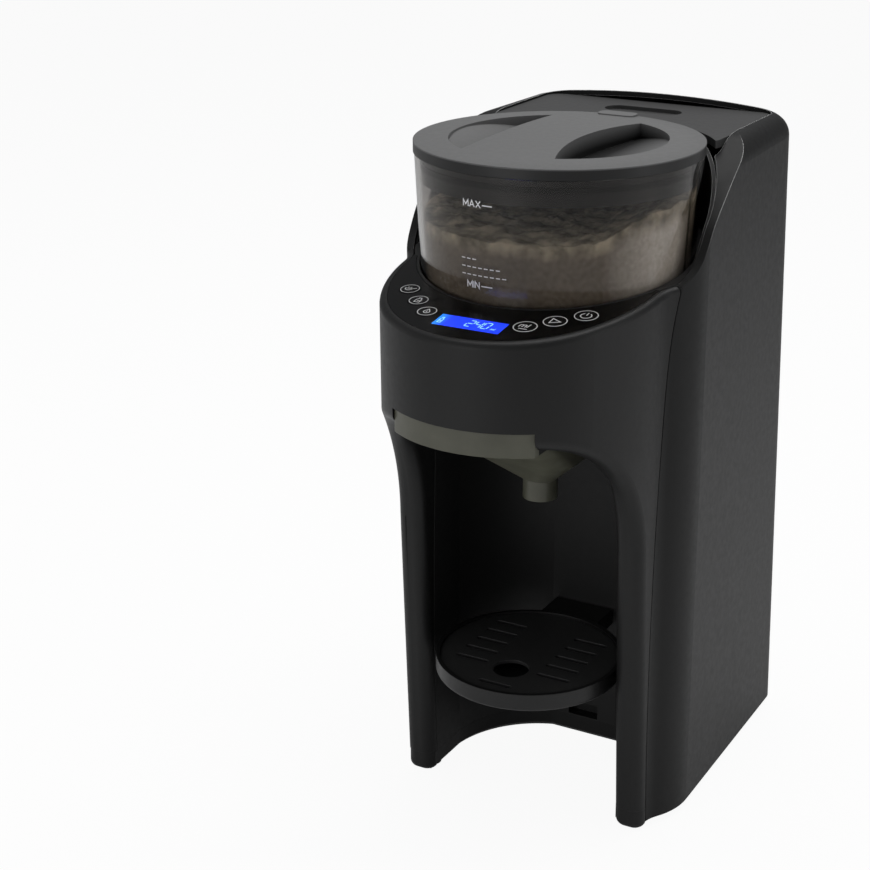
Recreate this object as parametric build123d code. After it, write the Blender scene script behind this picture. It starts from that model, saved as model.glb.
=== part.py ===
from build123d import *
import math
import os

# Baby formula maker: a powder jar over a dosing head, a mixing funnel, a bottle bay
# with a drip tray, and a water tank behind.  Millimetres, +Z up, front towards -Y.
# Every size below is measured from the jar's axis; save() moves the finished pieces
# so that the origin lies on the ground under the middle of the machine.

# ---------------------------------------------------------------- driving sizes
WALL = 2.5                # wall of the moulded covers
FIT = 0.3                 # gap between pieces that move past each other
SEAM = 0.5                # visible joint line between fixed covers

# head and columns
NOSE_R = 70.0             # plan radius of the head's round front
NOSE_Y = -47.0            # its centre
NOSE_TURN = 60.0          # half angle of the round front
FRONT_HALF = 75.0         # half width of the head and the columns
HEAD_EDGE_R = 3.5         # rounded top edge of the head
CHIN_EDGE_R = 6.5         # rounded edge of the chin and the columns' noses
CHIN_Y = -105.0           # the chin is a quarter ellipse about this point ...
CHIN_Z = 166.0
CHIN_DEPTH = 58.0         # ... with this half axis along Y
CHIN_RISE = 76.0          # ... and this one along Z
COLUMN_LEAN = 0.051       # forward lean of the columns per mm of height

# control panel plane
PANEL_Y = -96.0
PANEL_Z = 299.5
PANEL_TILT = 8.2          # degrees, down towards the front
PANEL_T = 2.2
PANEL_RIM = 4.0           # head rim left around the panel
PANEL_LEDGE = 2.0         # width of the ledge that carries the panel

# bottle bay
BAY_HALF = 58.0
BAY_TOP = 250.0
BAY_CORNER_R = 40.0
BAY_BACK_Y = 44.2
BAY_SIDE_END_Y = -5.0     # where the straight sides turn into the rear curves
BAY_SIDE_R = 56.6
BAY_SIDE_TURN = 4.0       # degrees of the crease where the curves start

# rear shell
SHELL_NARROWING = 2.0     # the rear is narrower by this much to each side
SHELL_REAR_Y = 150.0
SHELL_CORNER_R = 14.0     # rear corners at the ground ...
SHELL_RIM_CORNER_R = 24.0 # ... and at the rim
SHELL_LEAN = 6.0          # the rear wall leans forward by this much at the rim
SHELL_TAPER = 3.0         # the sides draw in by this much at the rear of the rim
SHELL_WALL = 3.0
SHELL_BOTTOM = 4.5
SHELL_LIP = 4.5           # plan width of the rim beside the jar
SHELL_RIM_R = 12.0        # rounding of the rim
RIM_W = 11.0              # plan width of the rim round the tank's lid
RIM_Z = 376.4             # top of the rim at the middle of the back
RIM_CROWN = 6.0           # the rim falls away by this much to each side
# Y, Z on the rising rim
RIM_CURVE = [(-10.0, 318.0), (4.0, 334.5), (20.0, 347.0), (38.0, 359.5), (54.0, 368.0)]
RIM_END_Y = 88.0          # where the rising rim has levelled out
# Y, Z on the shell's front edge
SEAM_CURVE = [(-31.2, 0.0), (-33.5, 120.0), (-29.0, 235.0), (-24.5, 290.0), (-20.5, 313.0)]
FLARE_BLEND_R = 20.0      # rounding of the hollow where the sides flare out

# base
BASE_BOTTOM = 0.8
BASE_TOP = 13.0
BASE_FLOOR = 3.2
BASE_EDGE_R = 4.0
BASE_BEVEL = 3.0          # bevel along the bay's lower edge
PAD_R = 6.0
PAD_T = 2.8

# powder jar and its seat
JAR_R = 75.4              # outer radius at the mouth
JAR_DRAFT = 3.6           # the foot is narrower than the mouth by this much
JAR_FOOT_R = JAR_R - JAR_DRAFT
JAR_WALL = 2.5
JAR_FOOT_Z = 289.3
JAR_FLOOR_Z = 296.0
JAR_FLOOR_T = 3.0
JAR_H = 78.7
JAR_TOP_Z = JAR_FOOT_Z + JAR_H
SEAT_FLOOR_Z = 286.0
SEAT_FLOOR_T = JAR_FOOT_Z - FIT - SEAT_FLOOR_Z
SEAT_GAP = 1.4            # around the jar's foot
SEAT_R = JAR_FOOT_R + SEAT_GAP
SEAT_WALL = 1.6
SEAT_FLANGE = 2.2         # flange under the panel's inner edge
SEAT_FLANGE_HALF = 60.0   # it reaches this far to each side
NICHE_GAP = 4.1           # between the jar's mouth and the wall behind it
NICHE_R = JAR_R + NICHE_GAP
NICHE_WALL = 2.0
RIM_DROP = 3.2            # the wall ends this far under the shell's rim
SHOULDER_Y = -16.0        # front end of the wall

# lid
LID_OVERHANG = 0.6        # past the jar's mouth
LID_R = JAR_R + LID_OVERHANG
LID_T = 5.7
LID_SKIRT_GAP = 1.2       # inside the jar's mouth, bridged by the seal
LID_SKIRT_R = JAR_R - JAR_WALL - LID_SKIRT_GAP
LID_SKIRT_T = 1.8
LID_SKIRT_H = 14.0
LID_CROWN = 2.6
SEAL_H = 3.0
SEAL_T = 0.6
POCKET_DEPTH = 9.0
POCKET_WALL = 2.0
POCKET_TIP_Y = 51.5

# powder
POWDER_FILL = 0.687       # the powder fills this share of the height under the lid's skirt
POWDER_RING_GAP = 0.1     # between the wheel's room and the jar's wall
POWDER_RING_R = JAR_FOOT_R - JAR_WALL - POWDER_RING_GAP    # the wheel turns inside this radius

# powder wheel and drive
OUTLET_Y = -56.0          # powder outlet in the jar floor
OUTLET_R = 7.0
CHUTE_WALL = 1.5
CHUTE_END_Z = 244.5
WHEEL_GAP = 1.2           # around the wheel's paddles
WHEEL_R = POWDER_RING_R - WHEEL_GAP
WHEEL_H = 9.0
WHEEL_HUB_R = 12.0
PADDLES = 4
PADDLE_T = 3.0
SHAFT_R = 4.0
SHAFT_FIT = 0.05
COUPLER_R = 9.0
SLOT_W = 4.4
BLADE_W = 4.0
BLADE_L = 14.0
BLADE_H = 3.2
GEAR_MODULE = 1.5
GEAR_TEETH = 60
PINION_TEETH = 20
GEAR_Z = 262.0
GEAR_T = 8.0
GEAR_BACKLASH = 0.35      # tooth thinning, so that the flanks stay clear
HUB_TUBE_R = 9.0
BUSH_R = 6.0
MOTOR_R = 13.0
MOTOR_BOTTOM_Z = 205.0
MOTOR_FLANGE_Z = 255.0
MOTOR_FLANGE_T = 3.0
MOTOR_POST_X = 20.0
MOTOR_POST_R = 3.0

# funnel
FUNNEL_Z = 240.0          # underside of the funnel's flange
FUNNEL_T = 1.8
FUNNEL_HALF = 36.0
FUNNEL_BACK_Y = 3.0
SPOUT_Y = -17.0
SPOUT_R = 9.6
SPOUT_END_Z = 180.0
CONE_TOP_Z = 208.0
CONE_END_Z = 191.0
APRON_HALF = 40.0
APRON_TOP_Z = 251.2
APRON_T = 2.2
APRON_SET = 1.2           # how far the apron lies behind the head's skin
RAIL_W = 2.6
RAIL_LIP = 3.0
RAIL_T = 2.0
COVER_T = 1.5
NOZZLE_Y = -36.0
NOZZLE_R = 3.2

# drip tray
TRAY_Y = -28.5
TRAY_R = 52.2
TRAY_BOTTOM_Z = 80.0
TRAY_TOP_Z = 90.6
TRAY_WALL = 2.4
TRAY_STEPS = [0.0, -33.0, -66.0]     # the three heights the tray can hang at
TONGUE_HALF = 9.0
TONGUE_H = 8.0
TONGUE_END_Y = 51.0
NECK_HALF = 18.0
GRATE_T = 2.0
GRATE_DROP = 1.2          # grate sits this far under the tray's rim
GRATE_HOLE_Y = -50.3
GRATE_HOLE_R = 10.0
GRATE_SLOT_W = 3.0
GRATE_PITCH = 11.8
GRATE_SLOT_NEAR = 15.0    # the slots start this far from the middle
GRATE_SLOT_L = 20.0

# water tank
TANK_FRONT_Y = 42.0
TANK_WALL = 2.2
TANK_BOTTOM_Z = 150.0
TANK_TOP_Z = 366.7
TANK_LID_T = 4.2
LID_GROW = 1.6            # overhang of the tank's lid
LID_GRIP_L = 46.0         # finger slot in the tank's lid
LID_GRIP_W = 16.0
LID_GRIP_SET = 24.0       # from the tank's rear wall to the slot's middle
TANK_CORNER_R = 8.0
SHELF_T = 3.0
PORT_Y = 112.0            # outlet port in the tank's floor
PORT_R = 9.0
VALVE_R = 4.0
SEAL_LIP_H = 4.0

# controls
BUTTON_SPOTS = [(27.5, -90.5), (38.5, -80.0), (50.0, -69.0)]
BUTTON_R = {"left": 5.6, "right": 6.6}
BUTTON_NAMES = {"right": ["unit_button", "start_button", "power_button"],
                "left": ["temperature_button", "volume_button", "scoop_button"]}
BUTTON_FLANGE = 0.7
BUTTON_FLANGE_T = 0.8
BUTTON_PROUD = 0.3
BUTTON_TRAVEL = 0.6
STEM_R = 2.0
STEM_L = 1.4
SWITCH_SIZE = 6.0
SWITCH_H = 3.0
BOARD_T = 1.6
BOARD_DEPTH = 8.4         # top of the button board under the panel's face
DISPLAY_W = 37.0
DISPLAY_L = 12.2
DISPLAY_Y = -96.1
WINDOW_T = 1.2
POST_SPOTS = [(58.0, -56.5), (14.0, -84.2)]
POST_R = 2.2

# power parts in the lower rear
ROD_R = 2.5
ROD_SPOTS = [(66.5, -10.0), (45.0, 52.0)]
SOCKET_X = 50.0
SOCKET_Z = 34.0
SOCKET_W = 30.0
SOCKET_H = 22.0
VENT_COUNT = 6
VENT_PITCH = 8.0
HOSE_R = 3.0
HOSE_SPOT = (30.0, 54.0)  # where the nozzle's hose climbs behind the bay
MAIN_BOARD_X = -17.0
MAIN_BOARD_W = 82.0
MAIN_BOARD_H = 92.0
PUMP_X = -42.0
PUMP_Y = 91.0
PUMP_W = 36.0
PUMP_L = 46.0
PUMP_H = 34.0
HEATER_X = 34.0
HEATER_Y = 96.0
HEATER_R = 19.0
HEATER_H = 62.0
STUB_X = 9.0              # the hose stubs stand this far from the middle of the pump and heater
STUB_L = 8.0              # length of the hose stubs
SCREW_HEAD_R = 3.2
SCREW_HEAD_T = 1.6
SCREW_R = 1.5

# ---------------------------------------------------------------- worked-out sizes
FLOOR_Z = BASE_BOTTOM + BASE_FLOOR
BODY_FRONT = NOSE_R - NOSE_Y
COLUMN_FRONT = CHIN_Y + CHIN_DEPTH + COLUMN_LEAN * CHIN_Z     # front of the columns at the ground
JAR_Y = (BODY_FRONT - SHELL_REAR_Y) / 2
SIDE_R = (FRONT_HALF - NOSE_R * math.sin(math.radians(NOSE_TURN))) / (
    1 - math.sin(math.radians(NOSE_TURN)))
SEAM_Y = (NOSE_Y - NOSE_R * math.cos(math.radians(NOSE_TURN))
          + SIDE_R * math.cos(math.radians(NOSE_TURN)))
SHELL_HALF = NICHE_R + NICHE_WALL + SHELL_LIP     # the rim passes the jar's niche at its full width
SHELL_REAR_HALF = SHELL_HALF - SHELL_NARROWING
CROWN_R = (SHELL_HALF ** 2 + RIM_CROWN ** 2) / (2 * RIM_CROWN)
TANK_HALF = SHELL_REAR_HALF - SHELL_TAPER - RIM_W - SEAM - LID_GROW
TANK_REAR_Y = SHELL_REAR_Y - SHELL_LEAN - RIM_W - SEAM - LID_GROW
SEAM_FOOT_Y = SEAM_CURVE[0][0] - SEAM
TANK_NICHE_R = NICHE_R + NICHE_WALL + SEAM + LID_GROW + FIT   # the tank's front wall follows the jar niche
JAR_BED_Z = JAR_FLOOR_Z + JAR_FLOOR_T
POWDER_Z = JAR_BED_Z + POWDER_FILL * (JAR_TOP_Z + FIT - LID_SKIRT_H - JAR_BED_Z)
FLARE_OUT = SHELL_HALF - FRONT_HALF
FLARE_R = (FLARE_OUT ** 2 + SEAM_Y ** 2) / (2 * FLARE_OUT)
FLARE_TURN = math.asin(-SEAM_Y / FLARE_R)
SHELL_FRONT_Y = SEAM_Y - FLARE_BLEND_R * math.tan(FLARE_TURN / 2) - 1     # ahead of the hollow
GEAR_PITCH_R = GEAR_MODULE * GEAR_TEETH / 2
PINION_PITCH_R = GEAR_MODULE * PINION_TEETH / 2
MOTOR_Y = GEAR_PITCH_R + PINION_PITCH_R
SEAT_TOP_Z = SEAT_FLOOR_Z + SEAT_FLOOR_T
PANEL_SLOPE = math.tan(math.radians(PANEL_TILT))
LID_UNDER_Z = JAR_TOP_Z + FIT
LID_TOP_Z = LID_UNDER_Z + LID_T
TRAY_FLOOR_T = 2.4
GRATE_TOP_Z = TRAY_TOP_Z - GRATE_DROP
BIG = 600.0

LOW = (Align.CENTER, Align.CENTER, Align.MIN)
HIGH = (Align.CENTER, Align.CENTER, Align.MAX)

os.makedirs("parts", exist_ok=True)


# ---------------------------------------------------------------- helpers
def save(name, shape):
    """Write one piece in the machine's own frame."""
    moved = Pos(0, JAR_Y, 0) * shape
    export_step(moved, f"parts/{name}.step")


def box(x0, x1, y0, y1, z0, z1):
    """A box between two corners."""
    return Pos((x0 + x1) / 2, (y0 + y1) / 2, (z0 + z1) / 2) * Box(x1 - x0, y1 - y0, z1 - z0)


def rod(x, y, radius, z0, z1):
    """An upright round bar."""
    return Pos(x, y, z0) * Cylinder(radius, z1 - z0, align=LOW)


def ring(x, y, outer, inner, z0, z1):
    """An upright tube."""
    return rod(x, y, outer, z0, z1) - rod(x, y, inner, z0 - 1, z1 + 1)


def prism(face, z0, z1):
    """A plan face raised from z0 to z1."""
    return extrude(Pos(0, 0, z0) * face, z1 - z0)


def both(x, y):
    """A place and its mirror image across the middle."""
    return [(x, y), (-x, y)]


def joined(shapes):
    """Several solids that stay apart in one node."""
    return Compound(shapes)


def panel_plane(depth):
    """The plane of the control panel's face, sunk by depth."""
    tilt = math.radians(PANEL_TILT)
    face = Plane(origin=(0, PANEL_Y, PANEL_Z), x_dir=(1, 0, 0), z_dir=(0, -math.sin(tilt), math.cos(tilt)))
    return face.offset(-depth)


def under_panel(depth):
    """Everything below the panel's face, sunk by depth."""
    return panel_plane(depth) * Box(BIG, BIG, BIG, align=HIGH)


def panel_slab(top, bottom):
    """A layer parallel to the panel's face between two depths."""
    return panel_plane(top) * Box(BIG, BIG, bottom - top, align=HIGH)


def panel_z(y):
    """Height of the panel's face at a place."""
    return PANEL_Z + (y - PANEL_Y) * PANEL_SLOPE


def on_panel(x, y, depth):
    """A place on the panel's face, sunk by depth, looking along its normal."""
    drop = (y - PANEL_Y) / math.cos(math.radians(PANEL_TILT))
    return panel_plane(depth) * Pos(x, drop, 0)


# ---------------------------------------------------------------- plan outlines
def run_edge(run):
    """A straight edge through two points or an arc through three."""
    return Line(*run) if len(run) == 2 else ThreePointArc(*run)


def symmetric_face(front, runs):
    """A face from its front edge and the runs of its right side; the left side mirrors them."""
    outline = front
    for run in runs:
        outline += run_edge(run)
    last = runs[-1][-1]
    outline += Line(last, (-last[0], last[1]))
    for run in reversed(runs):
        outline += run_edge([(-x, y) for x, y in reversed(run)])
    face = make_face(outline)
    return fillet([v for v in face.vertices() if abs(v.Y - SEAM_Y) < 0.01], FLARE_BLEND_R)


def side_arc(inset, y0):
    """The head's side from y0 back to where it flares out: start, middle and end."""
    half, side = FRONT_HALF - inset, SIDE_R - inset
    places = []
    for y in (y0, (y0 + SEAM_Y) / 2, SEAM_Y):
        places.append((half - side + math.sqrt(side ** 2 - (y - SEAM_Y) ** 2), y))
    return places


def flare_arc(inset):
    """The side's flare out to the shell's widest place: start, middle and end."""
    wide = SHELL_HALF - inset
    turn = FLARE_TURN / 2
    middle = (wide - FLARE_R * (1 - math.cos(turn)), -FLARE_R * math.sin(turn))
    return [(FRONT_HALF - inset, SEAM_Y), middle, (wide, 0)]


def head_plan(inset, back):
    """Round nose, long side arcs that flare out at the seam, and straight sides up to back."""
    turn = math.radians(NOSE_TURN)
    nose = NOSE_R - inset
    wide = SHELL_HALF - inset
    corner = (nose * math.sin(turn), NOSE_Y - nose * math.cos(turn))
    front = ThreePointArc((-corner[0], corner[1]), (0, NOSE_Y - nose), corner)
    return symmetric_face(front, [side_arc(inset, corner[1]), flare_arc(inset), [(wide, 0), (wide, back)]])


def shell_plan(inset, z=0.0):
    """Plan of the rear shell at a height: flared sides, then straight ones and rounded rear corners."""
    share = z / RIM_Z
    half = SHELL_HALF - inset
    rear_half = SHELL_REAR_HALF - inset - SHELL_TAPER * share
    rear = SHELL_REAR_Y - inset - SHELL_LEAN * share
    corner = SHELL_CORNER_R + (SHELL_RIM_CORNER_R - SHELL_CORNER_R) * share - inset
    bevel = corner * (1 - math.sqrt(0.5))
    side = side_arc(inset, SHELL_FRONT_Y)
    front = Line((-side[0][0], side[0][1]), side[0])
    rear_arc = [(rear_half, rear - corner), (rear_half - bevel, rear - bevel), (rear_half - corner, rear)]
    return symmetric_face(front, [side, flare_arc(inset), [(half, 0), rear_arc[0]], rear_arc])


def shell_block(inset, z0, z1):
    """The rear shell's solid shape between two heights, smaller by inset."""
    low, high = Pos(0, 0, z0) * shell_plan(inset, z0), Pos(0, 0, z1) * shell_plan(inset, z1)
    return loft([low, high], ruled=True)


def foot_plan(inset):
    """Plan of the right column's foot, with a rounded nose."""
    width = FRONT_HALF - BAY_HALF - 2 * inset
    length = SEAM_FOOT_Y - COLUMN_FRONT - inset
    block = Pos((FRONT_HALF + BAY_HALF) / 2, SEAM_FOOT_Y - length / 2) * Rectangle(width, length)
    return fillet(block.vertices().sort_by(Axis.Y)[0:2], CHIN_EDGE_R - inset)


def bay_plan(grow):
    """Plan of the bottle bay: open to the front, rear corners cut off by large curves."""
    half = BAY_HALF + grow
    turn = math.radians(BAY_SIDE_TURN)
    centre = (BAY_HALF - BAY_SIDE_R * math.cos(turn), BAY_SIDE_END_Y - BAY_SIDE_R * math.sin(turn))
    radius = BAY_SIDE_R + grow
    back = BAY_BACK_Y + grow
    first = math.acos((half - centre[0]) / radius)
    last = math.asin((back - centre[1]) / radius)
    start, mid, end = [(centre[0] + radius * math.cos(a), centre[1] + radius * math.sin(a))
                       for a in (first, (first + last) / 2, last)]
    outline = ThreePointArc(start, mid, end)
    outline += Line(end, (-end[0], back))
    outline += ThreePointArc((-end[0], back), (-mid[0], mid[1]), (-half, start[1]))
    outline += Polyline((-half, start[1]), (-half, -BIG / 2), (half, -BIG / 2), start)
    return make_face(outline)


def bay(grow):
    """The bottle bay: its plan, under an arch seen from the front."""
    half = BAY_HALF + grow
    top = BAY_TOP + grow
    arch = Pos(0, top - BIG / 2) * Rectangle(2 * half, BIG)
    arch = fillet(arch.vertices().sort_by(Axis.Y)[2:4], BAY_CORNER_R + grow)
    arch = extrude(Plane.XZ * arch, BIG / 2, both=True)
    return arch & prism(bay_plan(grow), -BIG / 4, BIG)


def chin(grow):
    """The space under the head's chin, in front of the columns."""
    low_y = CHIN_Y + CHIN_DEPTH + grow
    top_z = CHIN_Z + CHIN_RISE + grow
    foot_y = low_y + COLUMN_LEAN * (CHIN_Z + BIG / 4)
    outline = EllipticalCenterArc((CHIN_Y, CHIN_Z), CHIN_DEPTH + grow, CHIN_RISE + grow,
                                  start_angle=0, arc_size=90)
    outline += Polyline((CHIN_Y, top_z), (-BIG / 2, top_z), (-BIG / 2, -BIG / 4), (foot_y, -BIG / 4),
                        (low_y, CHIN_Z))
    return extrude(Plane.YZ * make_face(outline), BIG / 4, both=True)


def before_seam(gap):
    """Everything in front of the shell's front edge, less a gap."""
    points = [(y - gap, z) for y, z in SEAM_CURVE]
    top = points[-1]
    outline = Spline(*points)
    outline += Polyline(top, (top[0], BIG), (-BIG / 2, BIG), (-BIG / 2, -BIG / 4), (points[0][0], -BIG / 4),
                        points[0])
    return extrude(Plane.YZ * make_face(outline), BIG / 4, both=True)


def front_block(inset):
    """Head and columns as one solid, cut away under the chin and in the bay."""
    return prism(head_plan(inset, BIG / 8), BASE_TOP, BIG) - chin(inset) - bay(inset)


def chin_edges(block):
    """The long edges where the chin meets the outside and the bay."""
    low_y = CHIN_Y + CHIN_DEPTH
    found = []
    for edge in block.edges():
        here = edge.center()
        spread = ((here.Y - CHIN_Y) / CHIN_DEPTH) ** 2 + ((here.Z - CHIN_Z) / CHIN_RISE) ** 2
        on_front = abs(here.Y - low_y - COLUMN_LEAN * (CHIN_Z - here.Z)) < 0.5 and here.Z < CHIN_Z
        on_curve = here.Z > CHIN_Z and abs(spread - 1) < 0.06
        upright = edge.bounding_box().size.Z > 5
        if upright and (on_front or on_curve):
            found.append(edge)
    return found


# ---------------------------------------------------------------- covers
def front_housing():
    outer = front_block(0) & under_panel(0) & before_seam(SEAM)
    outer = fillet(chin_edges(outer), CHIN_EDGE_R)
    top = outer.faces().sort_by(Axis.Z)[-1]
    outer = fillet([e for e in top.edges() if e.center().Y < SEAM_Y - 1], HEAD_EDGE_R)
    cavity = front_block(WALL) & under_panel(PANEL_T + PANEL_LEDGE + 2)
    cavity += prism(foot_plan(WALL), BASE_TOP - 5, BASE_TOP + 5)
    cavity += mirror(prism(foot_plan(WALL), BASE_TOP - 5, BASE_TOP + 5), Plane.YZ)
    shape = outer - cavity
    ledge = prism(head_plan(PANEL_RIM + PANEL_LEDGE, BIG / 8), GEAR_Z, BIG)
    pocket = prism(head_plan(PANEL_RIM, BIG / 8), GEAR_Z, BIG)
    shape -= ledge & panel_slab(0, PANEL_T + PANEL_LEDGE + 3)
    shape -= pocket & panel_slab(-HEAD_EDGE_R, PANEL_T)
    shape -= apron_band(-1, APRON_SET + APRON_T + FIT, APRON_HALF + FIT, CHIN_Z, APRON_TOP_Z + FIT)
    for side in (1, -1):
        shape += funnel_rail(side)
    shape -= rod(0, OUTLET_Y, OUTLET_R + CHUTE_WALL + FIT, BAY_TOP - 5, BAY_TOP + 5)
    return shape - rod(0, NOZZLE_Y, NOZZLE_R + 0.1, BAY_TOP - 5, BAY_TOP + 5)


def apron_band(outside, inside, half, z0, z1):
    """A curved band that follows the head's front, from one inset of its plan to another."""
    band = head_plan(outside, BIG / 8) - head_plan(inside, BIG / 8)
    return prism(band, z0, z1) & box(-half, half, -BIG, NOSE_Y, z0, z1)


def funnel_rail(side):
    """One rail under the bay's roof that carries the funnel's flange."""
    inner = FUNNEL_HALF + FIT
    front, back = NOSE_Y - 50, SEAM_Y - SEAM
    low = FUNNEL_Z - FIT - RAIL_T
    web = box(inner, inner + RAIL_W, front, back, low, BAY_TOP)
    lip = box(inner - RAIL_LIP, inner + RAIL_W, front, back, low, low + RAIL_T)
    rail = (web + lip) & bay(0.2)
    return rail if side > 0 else mirror(rail, Plane.YZ)


def crown_z(x):
    """Height of the crowned rim at a distance from the middle."""
    return RIM_Z - CROWN_R + math.sqrt(CROWN_R ** 2 - x ** 2)


def under_crown(drop):
    """Everything below the crowned top of the shell."""
    bar = Plane.XZ * Pos(0, RIM_Z - drop - CROWN_R) * Circle(CROWN_R)
    return extrude(bar, BIG / 2, both=True)


def rim_line(drop):
    """Side view of the shell's rim: it rises beside the jar up to the crowned top."""
    front = SEAM_CURVE[-1][0]
    start = (front, panel_z(front) - drop)
    points = [(y, z - drop) for y, z in RIM_CURVE]
    end = (RIM_END_Y, crown_z(TANK_HALF) - drop)
    return Spline(start, *points, end, tangents=[(1, 0.6), (1, 0)]), start, end


def under_rim(drop):
    """Everything below the shell's rim."""
    curve, start, end = rim_line(drop)
    outline = curve + Polyline(end, (end[0], RIM_Z + 1), (BIG / 2, RIM_Z + 1), (BIG / 2, -BIG / 4),
                               (-BIG / 4, -BIG / 4), (-BIG / 4, start[1] - BIG / 8), start)
    return extrude(Plane.YZ * make_face(outline), BIG / 4, both=True)


def shell_body(inset):
    """The rear shell's solid shape under its rounded, rising rim, smaller by inset."""
    block = shell_block(inset, SHELL_BOTTOM - inset, RIM_Z + 1) & under_crown(inset)
    top = block.faces().sort_by(Axis.Z)[-1]
    edges = [e for e in top.edges() if e.center().Y > SEAM_Y + 1]
    return (fillet(edges, SHELL_RIM_R - inset) & under_rim(inset)) - before_seam(0)


def rim_opening(z0):
    """The open space inside the rim, for the jar and for the tank's lid."""
    space = rod(0, 0, NICHE_R + NICHE_WALL + FIT, z0, BIG)
    space += tank_block(-LID_GROW - SEAM, z0, BIG) + box(-50, 50, 0, TANK_FRONT_Y + 50, z0, BIG)
    return space & shell_block(SHELL_LIP, z0, RIM_Z + 1)


def rear_shell():
    shape = shell_body(0) - shell_body(SHELL_WALL) - rim_opening(SEAT_FLOOR_Z + 15)
    shape -= rod(0, 0, SEAT_R + SEAT_WALL + FIT, SEAT_FLOOR_Z, BIG)
    shape -= socket_hole(0.2)
    for k in range(VENT_COUNT):
        z = SOCKET_Z + 40 + k * VENT_PITCH
        shape -= box(-30, 30, SHELL_REAR_Y - 10, SHELL_REAR_Y + 10, z, z + 3)
    return shape


def socket_hole(gap):
    """Opening for the power inlet in the rear wall."""
    return box(SOCKET_X - SOCKET_W / 2 - gap, SOCKET_X + SOCKET_W / 2 + gap, SHELL_REAR_Y - 12,
               SHELL_REAR_Y + 10, SOCKET_Z - SOCKET_H / 2 - gap, SOCKET_Z + SOCKET_H / 2 + gap)


def bay_liner():
    """The curved wall behind and above the bottle, with the tray's slots in its back."""
    shell = (bay(WALL) & box(-BIG, BIG, SHELL_FRONT_Y, BIG, BASE_TOP, BIG)) - before_seam(0) - bay(0)
    back = box(-TONGUE_HALF - 4, TONGUE_HALF + 4, BAY_BACK_Y + 0.5, BAY_BACK_Y + 9, BASE_TOP, TRAY_TOP_Z + 4)
    shell += back
    for step in TRAY_STEPS:
        shell -= box(-TONGUE_HALF - 0.5, TONGUE_HALF + 0.5, BAY_BACK_Y - 5, TONGUE_END_Y + 0.5,
                     TRAY_BOTTOM_Z + step - 0.5, TRAY_BOTTOM_Z + step + TONGUE_H + 0.5)
    return shell


def base_block(inset, z0, z1):
    """The U-shaped foot of the machine; its lower edges are rounded when it isn't inset."""
    right = prism(foot_plan(inset), z0, z1)
    rear = prism(shell_plan(SHELL_WALL + 0.4 + inset, z1), z0, z1)
    rear &= box(-BIG, BIG, SEAM_FOOT_Y - WALL, BIG, z0, z1)
    if not inset:
        right = fillet(lower_edges(right, -BIG, SEAM_FOOT_Y - 0.1), BASE_EDGE_R)
        rear = fillet(lower_edges(rear, SEAM_Y + 0.1, BIG), BASE_EDGE_R)
        flare = Pos(0, 0, z0) * bay_plan(BASE_BEVEL)
        rear -= loft([flare, Pos(0, 0, z0 + BASE_BEVEL) * bay_plan(0)], ruled=True)
    return rear - bay(inset) + right + mirror(right, Plane.YZ)


def lower_edges(block, y0, y1):
    """Bottom edges of a block whose middles lie between y0 and y1."""
    low = block.faces().sort_by(Axis.Z)[0]
    return [e for e in low.edges() if y0 < e.center().Y < y1]


def base_plate():
    outer = base_block(0, BASE_BOTTOM, BASE_TOP)
    hollow = base_block(WALL, FLOOR_Z, BASE_TOP + 1)
    shape = outer - hollow
    for x, y in pad_spots():
        shape -= rod(x, y, PAD_R + 0.1, BASE_BOTTOM - 1, PAD_T)
    for spot in ROD_SPOTS:
        for x, y in both(*spot):
            shape -= rod(x, y, SCREW_HEAD_R + 0.1, BASE_BOTTOM - 1, BASE_BOTTOM + SCREW_HEAD_T)
            shape -= rod(x, y, SCREW_R + 0.1, 0, FLOOR_Z + 1)
    return shape


def pad_spots():
    """Places of the four rubber feet."""
    front = SEAM_Y + 4
    return both((FRONT_HALF + BAY_HALF) / 2, front) + both(SHELL_REAR_HALF - 20, SHELL_REAR_Y - 20)


def foot_pads():
    return joined([rod(x, y, PAD_R, 0, PAD_T) for x, y in pad_spots()])


# ---------------------------------------------------------------- jar seat and niche
def jar_seat():
    floor = rod(0, 0, SEAT_R + SEAT_WALL, SEAT_FLOOR_Z, SEAT_TOP_Z)
    wall = ring(0, 0, SEAT_R + SEAT_WALL, SEAT_R, SEAT_FLOOR_Z, BIG) & under_panel(0)
    shape = floor + wall
    inside = shell_block(SHELL_LIP + 0.4, SEAT_FLOOR_Z, RIM_Z)
    ledge = (rod(0, 0, NICHE_R + NICHE_WALL, SEAT_FLOOR_Z, BIG) & inside) - rod(0, 0, SEAT_R, 0, BIG)
    shape += ledge & panel_slab(0, PANEL_T) & box(-BIG, BIG, SEAM_Y, BIG, 0, BIG)
    flange = ring(0, 0, SEAT_R + SEAT_WALL + SEAT_FLANGE, SEAT_R, SEAT_FLOOR_Z, BIG)
    flange &= panel_slab(PANEL_T, PANEL_T + PANEL_LEDGE)
    shape += flange & box(-SEAT_FLANGE_HALF, SEAT_FLANGE_HALF, -BIG, NOSE_Y, 0, BIG)
    shape += rod(0, 0, HUB_TUBE_R, GEAR_Z + GEAR_T + 1, SEAT_FLOOR_Z + 1)
    shape -= cone_block(FIT, JAR_FOOT_Z - FIT, JAR_TOP_Z)
    shape -= rod(0, 0, BUSH_R, 0, BIG)
    shape -= rod(0, OUTLET_Y, OUTLET_R + CHUTE_WALL, 0, BIG)
    for x, y in both(MOTOR_POST_X, MOTOR_Y):
        shape += rod(x, y, MOTOR_POST_R, MOTOR_FLANGE_Z + MOTOR_FLANGE_T, SEAT_FLOOR_Z + 1)
    return shape


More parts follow.
